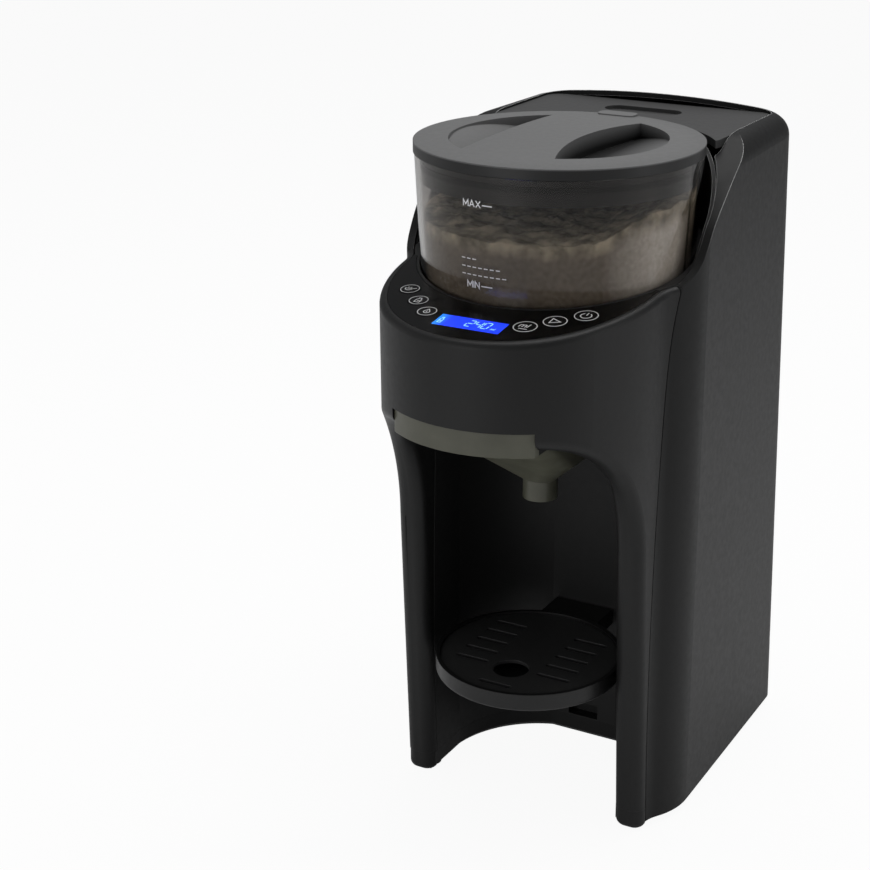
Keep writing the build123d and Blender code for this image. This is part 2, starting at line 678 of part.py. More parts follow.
def niche_wall():
    """The upright wall that wraps the jar's back."""
    inside = shell_block(SHELL_LIP + 0.2, SEAT_FLOOR_Z, RIM_Z)
    wall = ring(0, 0, NICHE_R + NICHE_WALL, NICHE_R, SEAT_FLOOR_Z, BIG) & under_rim(RIM_DROP) & inside
    shape = wall - tank_block(-LID_GROW - SEAM, 0, BIG) - under_panel(0)
    return shape - box(-BIG, BIG, -BIG, SHOULDER_Y, 0, BIG)


def powder_chute():
    """The tube that leads the powder from the jar's outlet into the funnel."""
    return ring(0, OUTLET_Y, OUTLET_R + CHUTE_WALL, OUTLET_R, CHUTE_END_Z, SEAT_TOP_Z)


def drive_bush():
    return ring(0, 0, BUSH_R, SHAFT_R + SHAFT_FIT, GEAR_Z + GEAR_T + 1, SEAT_TOP_Z - 0.5)


# ---------------------------------------------------------------- jar, lid and powder
def cone_block(grow, z0, z1):
    """The jar's tapered round body, larger by grow."""
    slope = (JAR_R - JAR_FOOT_R) / (JAR_TOP_Z - JAR_FOOT_Z)
    low = JAR_FOOT_R + grow + slope * (z0 - JAR_FOOT_Z)
    high = JAR_FOOT_R + grow + slope * (z1 - JAR_FOOT_Z)
    return Pos(0, 0, z0) * Cone(low, high, z1 - z0, align=LOW)


def powder_jar():
    shape = cone_block(0, JAR_FOOT_Z, JAR_TOP_Z)
    shape -= cone_block(-JAR_WALL, JAR_FLOOR_Z + JAR_FLOOR_T, JAR_TOP_Z + 1)
    shape -= cone_block(-JAR_WALL, JAR_FOOT_Z - 1, JAR_FLOOR_Z)
    shape -= rod(0, 0, SHAFT_R + SHAFT_FIT, 0, BIG)
    shape -= rod(0, OUTLET_Y, OUTLET_R, 0, BIG)
    return shape


def pocket_plan(side):
    """Plan of one finger pocket in the lid."""
    tip = 23.0 if side > 0 else 29.5
    waist = 13.5 if side > 0 else 29.4
    far = 57.0
    low, high = (side * tip, -POCKET_TIP_Y), (side * tip, POCKET_TIP_Y)
    inner = ThreePointArc(low, (side * waist, 0), high)
    outer = ThreePointArc(high, (side * far, 0), low)
    return make_face(inner + outer), waist, far


def pocket_block(side, grow):
    """The space of one finger pocket: deep beside the bar, running out to the lid's face."""
    plan, waist, far = pocket_plan(side)
    depth = POCKET_DEPTH
    region = prism(offset(plan, grow) if grow else plan, LID_TOP_Z - depth - grow, LID_TOP_Z + 20)
    lean = math.degrees(math.atan2(depth, far - waist))
    floor = Pos(side * far, 0, LID_TOP_Z - grow) * Rot(0, -side * lean, 0)
    return region & (floor * Box(BIG, BIG, BIG, align=LOW))


def jar_lid():
    dome_r = (LID_R ** 2 + LID_CROWN ** 2) / (2 * LID_CROWN)
    disc = rod(0, 0, LID_R, LID_UNDER_Z, LID_TOP_Z + LID_CROWN)
    disc = disc & (Pos(0, 0, LID_TOP_Z + LID_CROWN - dome_r) * Sphere(dome_r))
    skirt = ring(0, 0, LID_SKIRT_R, LID_SKIRT_R - LID_SKIRT_T, LID_UNDER_Z - LID_SKIRT_H, LID_UNDER_Z + 1)
    shape = disc + skirt
    for side in (1, -1):
        shell = pocket_block(side, POCKET_WALL) & rod(0, 0, LID_SKIRT_R - LID_SKIRT_T - 1, 0, LID_TOP_Z - 1)
        shape += shell
        shape -= pocket_block(side, 0)
    shape -= ring(0, 0, LID_SKIRT_R + 1, LID_SKIRT_R - LID_SKIRT_T / 2, seal_z(), seal_z() + SEAL_H)
    tab = box(-11, 11, LID_R - 9, LID_R + 1.5, LID_UNDER_Z, LID_TOP_Z + 1.2)
    tab = fillet(tab.edges().filter_by(Axis.Z), 4)
    return shape + tab


def seal_z():
    """Underside of the lid's seal ring."""
    return LID_UNDER_Z - LID_SKIRT_H / 2


def lid_seal():
    return ring(0, 0, LID_SKIRT_R + SEAL_T, LID_SKIRT_R - LID_SKIRT_T / 2, seal_z(), seal_z() + SEAL_H)


def powder():
    """Powder fill with a heaped, sloping top, hollow where the wheel turns."""
    floor_z = JAR_FLOOR_Z + JAR_FLOOR_T
    fill = cone_block(-JAR_WALL - 0.05, floor_z + 0.05, POWDER_Z + 12)
    top = Pos(0, 0, POWDER_Z) * Rot(4, 0, 0) * Box(BIG, BIG, BIG, align=HIGH)
    fill &= top
    fill -= rod(0, 0, POWDER_RING_R, floor_z - 1, floor_z + WHEEL_H + 2)
    fill -= rod(0, 0, WHEEL_HUB_R + 1.5, floor_z - 1, floor_z + WHEEL_H + 6)
    return fill


def powder_wheel():
    """Stirring wheel on the jar's floor, with the driven half of the coupling below it."""
    floor_z = JAR_FLOOR_Z + JAR_FLOOR_T
    low = floor_z + FIT
    hub = rod(0, 0, WHEEL_HUB_R, low, low + WHEEL_H + 3)
    hub = fillet(hub.faces().sort_by(Axis.Z)[-1].edges(), 3)
    shape = hub
    for k in range(PADDLES):
        arm = box(0, WHEEL_R, -PADDLE_T / 2, PADDLE_T / 2, low, low + WHEEL_H)
        shape += Rot(0, 0, 360 / PADDLES * k + 45) * arm
    shape += ring(0, 0, WHEEL_R, WHEEL_R - PADDLE_T, low, low + 3)
    shape += rod(0, 0, SHAFT_R, JAR_FOOT_Z + 2, low + 1)
    cup = rod(0, 0, COUPLER_R, JAR_FOOT_Z + 1.6, JAR_FLOOR_Z - FIT)
    cup -= box(-COUPLER_R - 1, COUPLER_R + 1, -SLOT_W / 2, SLOT_W / 2, 0, JAR_FLOOR_Z - FIT - 1.5)
    shaft_gap = box(-COUPLER_R - 1, COUPLER_R + 1, -SLOT_W / 2, SLOT_W / 2, 0, JAR_FLOOR_Z - FIT - 1.5)
    return (shape - shaft_gap) + cup


# ---------------------------------------------------------------- drive
def gear_face(teeth, phase):
    """Gear outline with straight-flanked teeth, thinned for backlash."""
    pitch_r = GEAR_MODULE * teeth / 2
    tip_r = pitch_r + 0.9 * GEAR_MODULE
    root_r = pitch_r - 1.2 * GEAR_MODULE
    points = []
    half = (math.pi * GEAR_MODULE / 2 - GEAR_BACKLASH) / 2
    flank = math.tan(math.radians(20))
    for k in range(teeth):
        middle = math.radians(phase) + 2 * math.pi * k / teeth
        for radius, way in ((root_r, -1), (tip_r, -1), (tip_r, 1), (root_r, 1)):
            width = half - (radius - pitch_r) * flank
            angle = middle + way * width / radius
            points.append((radius * math.cos(angle), radius * math.sin(angle)))
    return make_face(Polyline(*points, close=True))


def drive_gear():
    """The large gear with its shaft and the driving blade of the coupling."""
    body = prism(gear_face(GEAR_TEETH, 0), GEAR_Z, GEAR_Z + GEAR_T)
    for k in range(6):
        place = Rot(0, 0, 60 * k + 30) * Pos(GEAR_PITCH_R * 0.58, 0, GEAR_Z - 1)
        body -= place * Cylinder(8, GEAR_T + 2, align=LOW)
    body += rod(0, 0, SHAFT_R + 3, GEAR_Z, GEAR_Z + GEAR_T + 1 - FIT)
    body += rod(0, 0, SHAFT_R, GEAR_Z - 1.5, JAR_FOOT_Z + 0.9)
    blade_z = JAR_FOOT_Z + 0.9
    body += box(-BLADE_L / 2, BLADE_L / 2, -BLADE_W / 2, BLADE_W / 2, blade_z - 0.8, blade_z + BLADE_H)
    return body


def motor_pinion():
    """The small gear on the motor's shaft; a tooth gap faces the large gear."""
    face = gear_face(PINION_TEETH, 90 + 180 / PINION_TEETH)
    body = prism(face, GEAR_Z, GEAR_Z + GEAR_T)
    body += rod(0, 0, 2.5, MOTOR_FLANGE_Z - 8, GEAR_Z + GEAR_T + 3)
    return Pos(0, MOTOR_Y, 0) * body


def gear_motor():
    body = rod(0, MOTOR_Y, MOTOR_R, MOTOR_BOTTOM_Z, MOTOR_FLANGE_Z)
    body = chamfer(body.faces().sort_by(Axis.Z)[0].edges(), 1.5)
    ear = MOTOR_POST_X + MOTOR_POST_R + 2
    flange = box(-ear, ear, MOTOR_Y - 9, MOTOR_Y + 9, MOTOR_FLANGE_Z, MOTOR_FLANGE_Z + MOTOR_FLANGE_T)
    flange = fillet(flange.edges().filter_by(Axis.Z), 4)
    body += flange
    return body - rod(0, MOTOR_Y, 2.5 + SHAFT_FIT, MOTOR_FLANGE_Z - 8.5, BIG)


def motor_screws():
    """Two screws that hold the motor's flange to the seat's posts."""
    heads = []
    for x, y in both(MOTOR_POST_X, MOTOR_Y):
        heads.append(rod(x, y, 2.6, MOTOR_FLANGE_Z - 1.8, MOTOR_FLANGE_Z))
    return joined(heads)


# ---------------------------------------------------------------- funnel
def funnel_section(half_x, y0, y1, z, radius):
    """One rounded level of the funnel's bowl."""
    plan = Pos(0, (y0 + y1) / 2, z) * RectangleRounded(2 * half_x, y1 - y0, radius)
    return plan


def funnel_bowl(inset):
    """Bowl, cone and spout as one solid, smaller by inset."""
    front = NOSE_Y - 46 + inset
    spout = SPOUT_R - inset
    back = FUNNEL_BACK_Y - 3 - inset
    mouth = funnel_section(FUNNEL_HALF - 4 - inset, front, back, FUNNEL_Z + 1, 12 - inset)
    waist = funnel_section(28 - inset, SPOUT_Y - 29 + inset, SPOUT_Y + 18 - inset, CONE_TOP_Z, 14 - inset)
    foot = funnel_section(spout - 0.6, SPOUT_Y - spout + 0.6, SPOUT_Y + spout - 0.6, CONE_END_Z, spout - 1.2)
    bowl = loft([waist, mouth], ruled=True) + loft([foot, waist], ruled=True)
    return bowl + rod(0, SPOUT_Y, spout, SPOUT_END_Z - (1 if inset else 0), CONE_END_Z + 1)


def funnel():
    z1 = FUNNEL_Z + FUNNEL_T
    plate = prism(head_plan(FIT + APRON_T, BIG / 8), FUNNEL_Z, z1)
    plate &= box(-FUNNEL_HALF, FUNNEL_HALF, -BIG, FUNNEL_BACK_Y, 0, BIG)
    apron = apron_band(APRON_SET, APRON_SET + APRON_T, APRON_HALF, FUNNEL_Z - 1.5, APRON_TOP_Z)
    brow = prism(head_plan(APRON_SET + 0.5, BIG / 8), FUNNEL_Z - 1.5, z1)
    brow &= box(-APRON_HALF, APRON_HALF, -BIG, NOSE_Y - 52, 0, BIG)
    shape = plate + apron + brow + funnel_bowl(0)
    shape -= funnel_bowl(FUNNEL_T)
    front, back = NOSE_Y - 45.8 + FUNNEL_T, FUNNEL_BACK_Y - 3.2 - FUNNEL_T
    mouth = funnel_section(FUNNEL_HALF - 4.2 - FUNNEL_T, front, back, FUNNEL_Z, 12 - FUNNEL_T)
    return shape - extrude(mouth, 8)


def funnel_cover():
    """Snap-on cover of the funnel with the powder and water holes."""
    z0 = FUNNEL_Z + FUNNEL_T
    plate = box(-FUNNEL_HALF + 2, FUNNEL_HALF - 2, NOSE_Y - 49, FUNNEL_BACK_Y, z0, z0 + COVER_T)
    plate = fillet(plate.edges().filter_by(Axis.Z), 6)
    plate -= rod(0, OUTLET_Y, OUTLET_R + 2, 0, BIG)
    return plate - rod(0, NOZZLE_Y, NOZZLE_R + 1.5, 0, BIG)


# ---------------------------------------------------------------- drip tray
def drip_tray():
    body = rod(0, TRAY_Y, TRAY_R, TRAY_BOTTOM_Z, TRAY_TOP_Z)
    body = fillet(body.faces().sort_by(Axis.Z)[0].edges(), 3)
    neck = box(-NECK_HALF, NECK_HALF, TRAY_Y + TRAY_R - 12, BAY_BACK_Y - FIT, TRAY_BOTTOM_Z, TRAY_TOP_Z - 1)
    body += neck
    basin = rod(0, TRAY_Y, TRAY_R - TRAY_WALL, TRAY_BOTTOM_Z + TRAY_FLOOR_T, BIG)
    body -= basin
    seat = ring(0, TRAY_Y, TRAY_R - TRAY_WALL, TRAY_R - TRAY_WALL - 1.5, TRAY_BOTTOM_Z + 2,
                GRATE_TOP_Z - GRATE_T)
    body += seat
    tongue = box(-TONGUE_HALF, TONGUE_HALF, BAY_BACK_Y - 2, TONGUE_END_Y, TRAY_BOTTOM_Z,
                 TRAY_BOTTOM_Z + TONGUE_H)
    return body + tongue


def grate_slots():
    """Rows of slots on both sides of the middle and one in front of the hole."""
    slots = [Pos(0, TRAY_Y - TRAY_R + 11) * SlotOverall(GRATE_SLOT_L, GRATE_SLOT_W)]
    for k in range(5):
        y = TRAY_Y + (k - 1.75) * GRATE_PITCH
        for side in (1, -1):
            x = side * (GRATE_SLOT_NEAR + GRATE_SLOT_L / 2)
            slots.append(Pos(x, y) * SlotOverall(GRATE_SLOT_L, GRATE_SLOT_W))
    return slots


def tray_grate():
    body = rod(0, TRAY_Y, TRAY_R - TRAY_WALL - FIT, GRATE_TOP_Z - GRATE_T + 0.05, GRATE_TOP_Z)
    body -= rod(0, GRATE_HOLE_Y, GRATE_HOLE_R, 0, BIG)
    for slot in grate_slots():
        body -= prism(slot, GRATE_TOP_Z - 5, GRATE_TOP_Z + 5)
    return body


# ---------------------------------------------------------------- water tank
def tank_block(inset, z0, z1):
    """The tank's body: straight sides, rounded rear corners, front following the niche."""
    plan = Pos(0, (TANK_FRONT_Y + TANK_REAR_Y) / 2) * Rectangle(2 * (TANK_HALF - inset),
                                                                TANK_REAR_Y - TANK_FRONT_Y - 2 * inset)
    plan = fillet(plan.vertices(), TANK_CORNER_R - inset)
    return prism(plan, z0, z1) - rod(0, 0, TANK_NICHE_R + inset, z0 - 1, z1 + 1)


def water_tank():
    shape = tank_block(0, TANK_BOTTOM_Z, TANK_TOP_Z)
    shape -= tank_block(TANK_WALL, TANK_BOTTOM_Z + 3, TANK_TOP_Z + 1)
    shape += rod(0, PORT_Y, PORT_R, TANK_BOTTOM_Z - 8, TANK_BOTTOM_Z + 1)
    shape -= rod(0, PORT_Y, PORT_R - 2, TANK_BOTTOM_Z - 6, TANK_BOTTOM_Z + 4)
    return shape - rod(0, PORT_Y, VALVE_R + 0.5, 0, TANK_BOTTOM_Z)


def tank_valve():
    """Poppet that closes the tank's port until the socket's pin lifts it."""
    seat_z = TANK_BOTTOM_Z - 6 + 0.05
    head_part = rod(0, PORT_Y, PORT_R - 2.5, seat_z, seat_z + 2.5)
    return head_part + rod(0, PORT_Y, VALVE_R - 0.3, TANK_BOTTOM_Z - 8, seat_z + 1)


def tank_lid():
    z0 = TANK_TOP_Z + FIT
    lid = tank_block(-LID_GROW, z0, z0 + TANK_LID_T)
    inner = tank_block(TANK_WALL + 0.4, z0 - 4, z0 + 1) - tank_block(TANK_WALL + 2.4, z0 - 5, z0)
    grip = Pos(0, TANK_REAR_Y - LID_GRIP_SET, z0 + 2) * extrude(SlotOverall(LID_GRIP_L, LID_GRIP_W), 20)
    return lid + inner - grip


def tank_shelf():
    """Shelf that carries the tank, with holes for the socket and the tie rods."""
    z1 = TANK_BOTTOM_Z - FIT
    plan = shell_plan(SHELL_WALL + 0.4, z1)
    shape = prism(plan, z1 - SHELF_T, z1) & box(-BIG, BIG, BAY_BACK_Y + WALL + 2, BIG, 0, BIG)
    shape -= rod(0, PORT_Y, PORT_R + 0.4, 0, BIG)
    for x, y in both(*ROD_SPOTS[1]):
        shape -= rod(x, y, ROD_R + 0.1, 0, BIG)
    return shape - rod(*HOSE_SPOT, HOSE_R + 0.5, 0, BIG)


def tank_socket():
    """Cup under the shelf that receives the tank's port and lifts its valve."""
    top = TANK_BOTTOM_Z - FIT - SHELF_T
    low = TANK_BOTTOM_Z - 8 - 6
    cup = rod(0, PORT_Y, PORT_R + 4, low, top) - rod(0, PORT_Y, PORT_R + 0.4, low + 2.5, top + 1)
    cup += rod(0, PORT_Y, 1.6, low + 1, TANK_BOTTOM_Z - 8 - FIT)
    cup += rod(0, PORT_Y, HOSE_R - 1, low - STUB_L, low + 1)
    cup -= rod(0, PORT_Y, 1, low - STUB_L - 1, low - 1)
    return cup - ring(0, PORT_Y, PORT_R + 3, PORT_R, top - SEAL_LIP_H, top + 1)


def socket_seal():
    """Lip seal between the tank's port and the socket."""
    z = TANK_BOTTOM_Z - FIT - SHELF_T
    return ring(0, PORT_Y, PORT_R + 3, PORT_R + FIT, z - SEAL_LIP_H, z)


# ---------------------------------------------------------------- controls
def crescent(edge, clear):
    """Plan of the crescent between the head's rim and the jar's seat."""
    return head_plan(edge, BIG / 8) - Circle(SEAT_R + SEAT_WALL + clear)


def control_panel():
    body = prism(crescent(PANEL_RIM + 0.15, 0.3), GEAR_Z, BIG / 1.5) & panel_slab(0, PANEL_T)
    body &= box(-BIG, BIG, -BIG, SEAM_Y - SEAM, 0, BIG)
    for side, sign in (("right", 1), ("left", -1)):
        for x, y in BUTTON_SPOTS:
            hole = Cylinder(BUTTON_R[side] + FIT, PANEL_T + 2, align=LOW)
            body -= on_panel(sign * x, y, PANEL_T + 1) * hole
    body -= on_panel(0, DISPLAY_Y, WINDOW_T) * Box(DISPLAY_W + 0.2, DISPLAY_L + 0.2, 10, align=LOW)
    body -= on_panel(0, DISPLAY_Y, PANEL_T + 1) * Box(DISPLAY_W - 3, DISPLAY_L - 2.5, 10, align=LOW)
    for x, y in POST_SPOTS:
        for px, py in both(x, y):
            body += on_panel(px, py, BOARD_DEPTH) * Cylinder(POST_R, BOARD_DEPTH - PANEL_T + 0.5, align=LOW)
    return body


def display_window():
    return on_panel(0, DISPLAY_Y, WINDOW_T) * Box(DISPLAY_W, DISPLAY_L, WINDOW_T, align=LOW)


def display_module():
    depth = BOARD_DEPTH - PANEL_T
    return on_panel(0, DISPLAY_Y, BOARD_DEPTH) * Box(DISPLAY_W + 3, DISPLAY_L + 4, depth, align=LOW)


def button(side, spot):
    """Button cap with the flange that keeps it in the panel and its stem."""
    sign = 1 if side == "right" else -1
    x, y = spot
    cap_r = BUTTON_R[side]
    flange_top = PANEL_T + 0.05
    cap = on_panel(sign * x, y, flange_top) * Cylinder(cap_r, flange_top + BUTTON_PROUD, align=LOW)
    cap = fillet(cap.faces().sort_by(Axis.Z)[-1].edges(), 0.4)
    cap += on_panel(sign * x, y, flange_top + BUTTON_FLANGE_T) * Cylinder(
        cap_r + FIT + BUTTON_FLANGE / 2, BUTTON_FLANGE_T, align=LOW)
    return cap + on_panel(sign * x, y, flange_top + BUTTON_FLANGE_T + STEM_L) * Cylinder(
        STEM_R, STEM_L + 0.2, align=LOW)


def tact_switches():
    """Six small switches on the button board, one under each stem."""
    blocks = []
    for x, y in BUTTON_SPOTS:
        for px, py in both(x, y):
            blocks.append(on_panel(px, py, BOARD_DEPTH) * Box(SWITCH_SIZE, SWITCH_SIZE, SWITCH_H, align=LOW))
    return joined(blocks)


def button_board():
    body = prism(crescent(PANEL_RIM + 4.5, 3.5), GEAR_Z, BIG / 1.5)
    body &= panel_slab(BOARD_DEPTH, BOARD_DEPTH + BOARD_T)
    body &= box(-BIG, BIG, -BIG, NOSE_Y - 4, 0, BIG)
    return body


def panel_screws():
    """Screws that hold the button board to the panel's posts."""
    heads = []
    depth = BOARD_DEPTH + BOARD_T
    for x, y in POST_SPOTS:
        for px, py in both(x, y):
            heads.append(on_panel(px, py, depth + 1.4) * Cylinder(2.2, 1.4, align=LOW))
    return joined(heads)


# ---------------------------------------------------------------- frame and power parts
def tie_rods():
    """Steel rods that tie the base to the jar seat."""
    bars = []
    for x, y in ROD_SPOTS:
        for px, py in both(x, y):
            bars.append(rod(px, py, ROD_R, FLOOR_Z, SEAT_FLOOR_Z))
    return joined(bars)


def base_screws():
    """Screws up into the tie rods."""
    heads = []
    for x, y in ROD_SPOTS:
        for px, py in both(x, y):
            heads.append(rod(px, py, SCREW_HEAD_R, BASE_BOTTOM, BASE_BOTTOM + SCREW_HEAD_T)
                         + rod(px, py, SCREW_R, BASE_BOTTOM + 1, FLOOR_Z))
    return joined(heads)


def hose(points, bend):
    """A flexible water line of straight runs and round bends."""
    path = FilletPolyline(*points, radius=bend)
    start = Plane(origin=path @ 0, z_dir=path % 0)
    return sweep(start * (Circle(HOSE_R) - Circle(HOSE_R - 1)), path)


def water_pump():
    body = box(PUMP_X - PUMP_W / 2, PUMP_X + PUMP_W / 2, PUMP_Y - PUMP_L / 2, PUMP_Y + PUMP_L / 2,
               FLOOR_Z, FLOOR_Z + PUMP_H)
    body = fillet(body.edges().filter_by(Axis.Z), 5)
    for x in (PUMP_X - STUB_X, PUMP_X + STUB_X):
        body += ring(x, PUMP_Y, HOSE_R - 1, 1, FLOOR_Z + PUMP_H - 1, FLOOR_Z + PUMP_H + STUB_L)
    return body


def water_heater():
    body = rod(HEATER_X, HEATER_Y, HEATER_R, FLOOR_Z, FLOOR_Z + HEATER_H)
    body = fillet(body.faces().sort_by(Axis.Z)[-1].edges(), 4)
    for x in (HEATER_X - STUB_X, HEATER_X + STUB_X):
        body += ring(x, HEATER_Y, HOSE_R - 1, 1, FLOOR_Z + HEATER_H - 1, FLOOR_Z + HEATER_H + STUB_L)
    return body


def suction_hose():
    top = TANK_BOTTOM_Z - 8 - 6 - STUB_L
    low = FLOOR_Z + PUMP_H
    x = PUMP_X + STUB_X
    points = [(0, PORT_Y, top), (0, PORT_Y, top - 25), (x, PUMP_Y, top - 45), (x, PUMP_Y, low)]
    return hose(points, 12)


def heater_hose():
    low = FLOOR_Z + PUMP_H
    top = FLOOR_Z + HEATER_H
    x0, x1 = PUMP_X - STUB_X, HEATER_X - STUB_X
    lift = top + 30
    points = [(x0, PUMP_Y, low), (x0, PUMP_Y, lift), (x1, HEATER_Y, lift), (x1, HEATER_Y, top)]
    return hose(points, 12)


def nozzle_hose():
    """From the heater up behind the bay and forward over its roof to the nozzle."""
    top = FLOOR_Z + HEATER_H
    x = HEATER_X + STUB_X
    run_z = BAY_TOP + WALL + HOSE_R + 0.5
    climb = HOSE_SPOT
    points = [(x, HEATER_Y, top), (x, HEATER_Y, top + 24), (*climb, top + 60), (*climb, run_z),
              (14, NOZZLE_Y + 32, run_z), (0, NOZZLE_Y + 20, run_z), (0, NOZZLE_Y + 3, run_z)]
    return hose(points, 9)


def water_nozzle():
    """Elbow block on the bay's roof with the jet that wets the funnel."""
    run_z = BAY_TOP + WALL + HOSE_R + 0.5
    block = box(-5, 5, NOZZLE_Y - 5, NOZZLE_Y + 3, BAY_TOP + WALL, run_z + HOSE_R)
    jet = rod(0, NOZZLE_Y, NOZZLE_R, CHUTE_END_Z, BAY_TOP + WALL + 0.4)
    return block + jet - rod(0, NOZZLE_Y, 1.2, 0, run_z)


def main_board():
    """Circuit board standing on the base's floor in front of the rear wall."""
    y = SHELL_REAR_Y - 20
    left, right = MAIN_BOARD_X - MAIN_BOARD_W / 2, MAIN_BOARD_X + MAIN_BOARD_W / 2
    board = box(left, right, y, y + BOARD_T, FLOOR_Z, FLOOR_Z + MAIN_BOARD_H)
    parts = [(-19, 40, 22, 18, 14), (9, 66, 18, 16, 12), (27, 30, 16, 20, 10), (-23, 76, 12, 12, 8)]
    for x, z, w, h, d in parts:
        middle = MAIN_BOARD_X + x
        board += box(middle - w / 2, middle + w / 2, y - d, y + 0.5, z - h / 2, z + h / 2)
    return board


def power_inlet():
    """Mains socket in the rear wall."""
    depth = 16.0
    y1 = SHELL_REAR_Y
    body = box(SOCKET_X - SOCKET_W / 2, SOCKET_X + SOCKET_W / 2, SHELL_REAR_Y - depth, y1,
               SOCKET_Z - SOCKET_H / 2, SOCKET_Z + SOCKET_H / 2)
    body -= box(SOCKET_X - 12, SOCKET_X + 12, SHELL_REAR_Y - depth + 3, y1 + 1, SOCKET_Z - 8, SOCKET_Z + 8)
    for x in (-5, 5):
        pin = Pos(SOCKET_X + x, SHELL_REAR_Y - depth + 2, SOCKET_Z) * Rot(-90, 0, 0)
        body += pin * Cylinder(1.2, 11, align=LOW)
    return body


# ---------------------------------------------------------------- output
PIECES = [front_housing, rear_shell, bay_liner, base_plate, foot_pads, jar_seat, niche_wall,
          powder_chute, drive_bush, powder_jar, jar_lid, lid_seal, powder, powder_wheel,
          drive_gear, motor_pinion, gear_motor, motor_screws, funnel, funnel_cover, drip_tray,
          tray_grate, water_tank, tank_valve, tank_lid, tank_shelf, tank_socket, socket_seal,
          control_panel, display_window, display_module, tact_switches, button_board,
          panel_screws, tie_rods, base_screws, water_pump, water_heater, suction_hose,
          heater_hose, nozzle_hose, water_nozzle, main_board, power_inlet]

for piece in PIECES:
    save(piece.__name__, piece())

for side_name, names in BUTTON_NAMES.items():
    for name, spot in zip(names, BUTTON_SPOTS):
        save(name, button(side_name, spot))
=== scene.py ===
import math

import bmesh
import bpy
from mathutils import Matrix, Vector, noise


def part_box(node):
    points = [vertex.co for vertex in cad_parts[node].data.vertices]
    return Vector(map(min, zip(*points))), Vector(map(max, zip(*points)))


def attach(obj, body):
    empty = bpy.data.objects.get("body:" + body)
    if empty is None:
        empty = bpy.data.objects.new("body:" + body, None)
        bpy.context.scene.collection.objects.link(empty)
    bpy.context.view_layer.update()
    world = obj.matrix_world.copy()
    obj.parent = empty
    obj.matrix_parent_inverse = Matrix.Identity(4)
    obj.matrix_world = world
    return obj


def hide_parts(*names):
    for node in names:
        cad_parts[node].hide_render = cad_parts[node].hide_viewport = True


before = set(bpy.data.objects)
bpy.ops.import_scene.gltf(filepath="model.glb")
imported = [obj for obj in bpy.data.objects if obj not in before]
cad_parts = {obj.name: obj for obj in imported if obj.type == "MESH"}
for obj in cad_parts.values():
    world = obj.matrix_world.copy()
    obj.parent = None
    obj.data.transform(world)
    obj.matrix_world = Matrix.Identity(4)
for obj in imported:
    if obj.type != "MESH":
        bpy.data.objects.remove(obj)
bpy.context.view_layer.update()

# ---------------------------------------------------------------- sizes, in millimetres from the jar's axis
MM = 0.001
JAR_Y = 0.5 * (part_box("powder_jar")[0].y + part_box("powder_jar")[1].y) / MM
JAR_FOOT_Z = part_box("powder_jar")[0].z / MM
JAR_TOP_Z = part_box("powder_jar")[1].z / MM
JAR_R = 0.5 * (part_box("powder_jar")[1].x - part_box("powder_jar")[0].x) / MM
JAR_FOOT_R = 71.8
JAR_WALL = 2.5
JAR_BED_Z = 299.0          # top of the jar's floor
PANEL_Y = -96.0            # the control panel's plane passes through this place ...
PANEL_Z = 299.5
PANEL_TILT = math.radians(8.2)     # ... and slopes down to the front
DECAL_T = 0.06             # thickness of a printed mark
LONGEST_RUN = 1.2          # a stroke is divided into runs no longer than this, so that it bends

# camera, in millimetres and degrees
CAMERA_RIGHT, CAMERA_BACK, CAMERA_UP = 419.1, 854.6, 565.4
CAMERA_TILT, CAMERA_TURN = 69.5, 28.6
CAMERA_LENS, CAMERA_SENSOR = 76.5, 36
CAMERA_SHIFT = -0.0517

# stage and light, in metres and watts
FLOOR_HALF = 6.0
FLOOR_WHITE = {"Is Camera Ray": 0.94, "Is Glossy Ray": 0.15}       # how far the floor looks plain white
WORLD_WHITE = {"Is Camera Ray": 1.0, "Is Transmission Ray": 1.0}
WORLD_FILL = 0.24
LIGHTS = {         # place, target, width, height, power
    "top_light": ((0.1, 0.35, 1.7), (0, 0, 0.3), 1.3, 1.3, 20.0),
    "right_light": ((1.5, 0.1, 0.55), (0, 0, 0.25), 0.5, 1.1, 2.9),
    "left_light": ((-1.5, -0.3, 0.6), (0, 0, 0.25), 0.4, 1.1, 0.9),
    "front_light": ((-0.9, -1.7, 0.9), (0, 0, 0.2), 1.2, 1.2, 3.2),
    "low_light": ((-0.3, -1.5, 0.3), (0, 0.02, 0.12), 0.7, 0.4, 2.4),
}

# places that materials use, in metres
EDGE_R = 0.0005                    # rounding of moulded edges
GRAIN_DEPTH = 0.0001
RIM_HIGHLIGHT_LOW_Z, RIM_HIGHLIGHT_HIGH_Z = 0.322, 0.345       # the painted highlight on the shell's rim edge fades in between these heights
LID_FACE_Z = 0.3737                # the lid's top face at its rim
LID_POCKET_R = 0.060               # the finger pockets lie inside this radius
DISPLAY_HALF = 0.0185


def srgb(red, green, blue):
    """Linear colour from display values of 0 to 255."""
    out = []
    for value in (red, green, blue):
        share = value / 255
        out.append(share / 12.92 if share <= 0.04045 else ((share + 0.055) / 1.055) ** 2.4)
    return (*out, 1.0)


def grey(value):
    return srgb(value, value, value)


def scaled(color, share, lift=0.0):
    """A colour whose light is multiplied by share and raised by lift."""
    return tuple(min(1.0, c * share + lift) for c in color[:3]) + (1.0,)


def combine(nodes, links, operation, first, second):
    """A Math node's output; first and second are numbers or outputs."""
    node = nodes.new("ShaderNodeMath")
    node.operation = operation
    for socket, value in zip(node.inputs, (first, second)):
        if isinstance(value, (int, float)):
            socket.default_value = value
        else:
            links.new(value, socket)
    return node.outputs[0]


def white_share(nodes, links, shares):
    """The largest share that any kind of ray in the table asks for."""
    path = nodes.new("ShaderNodeLightPath")
    parts = [combine(nodes, links, "MULTIPLY", path.outputs[ray], share) for ray, share in shares.items()]
    return combine(nodes, links, "MAXIMUM", *parts)


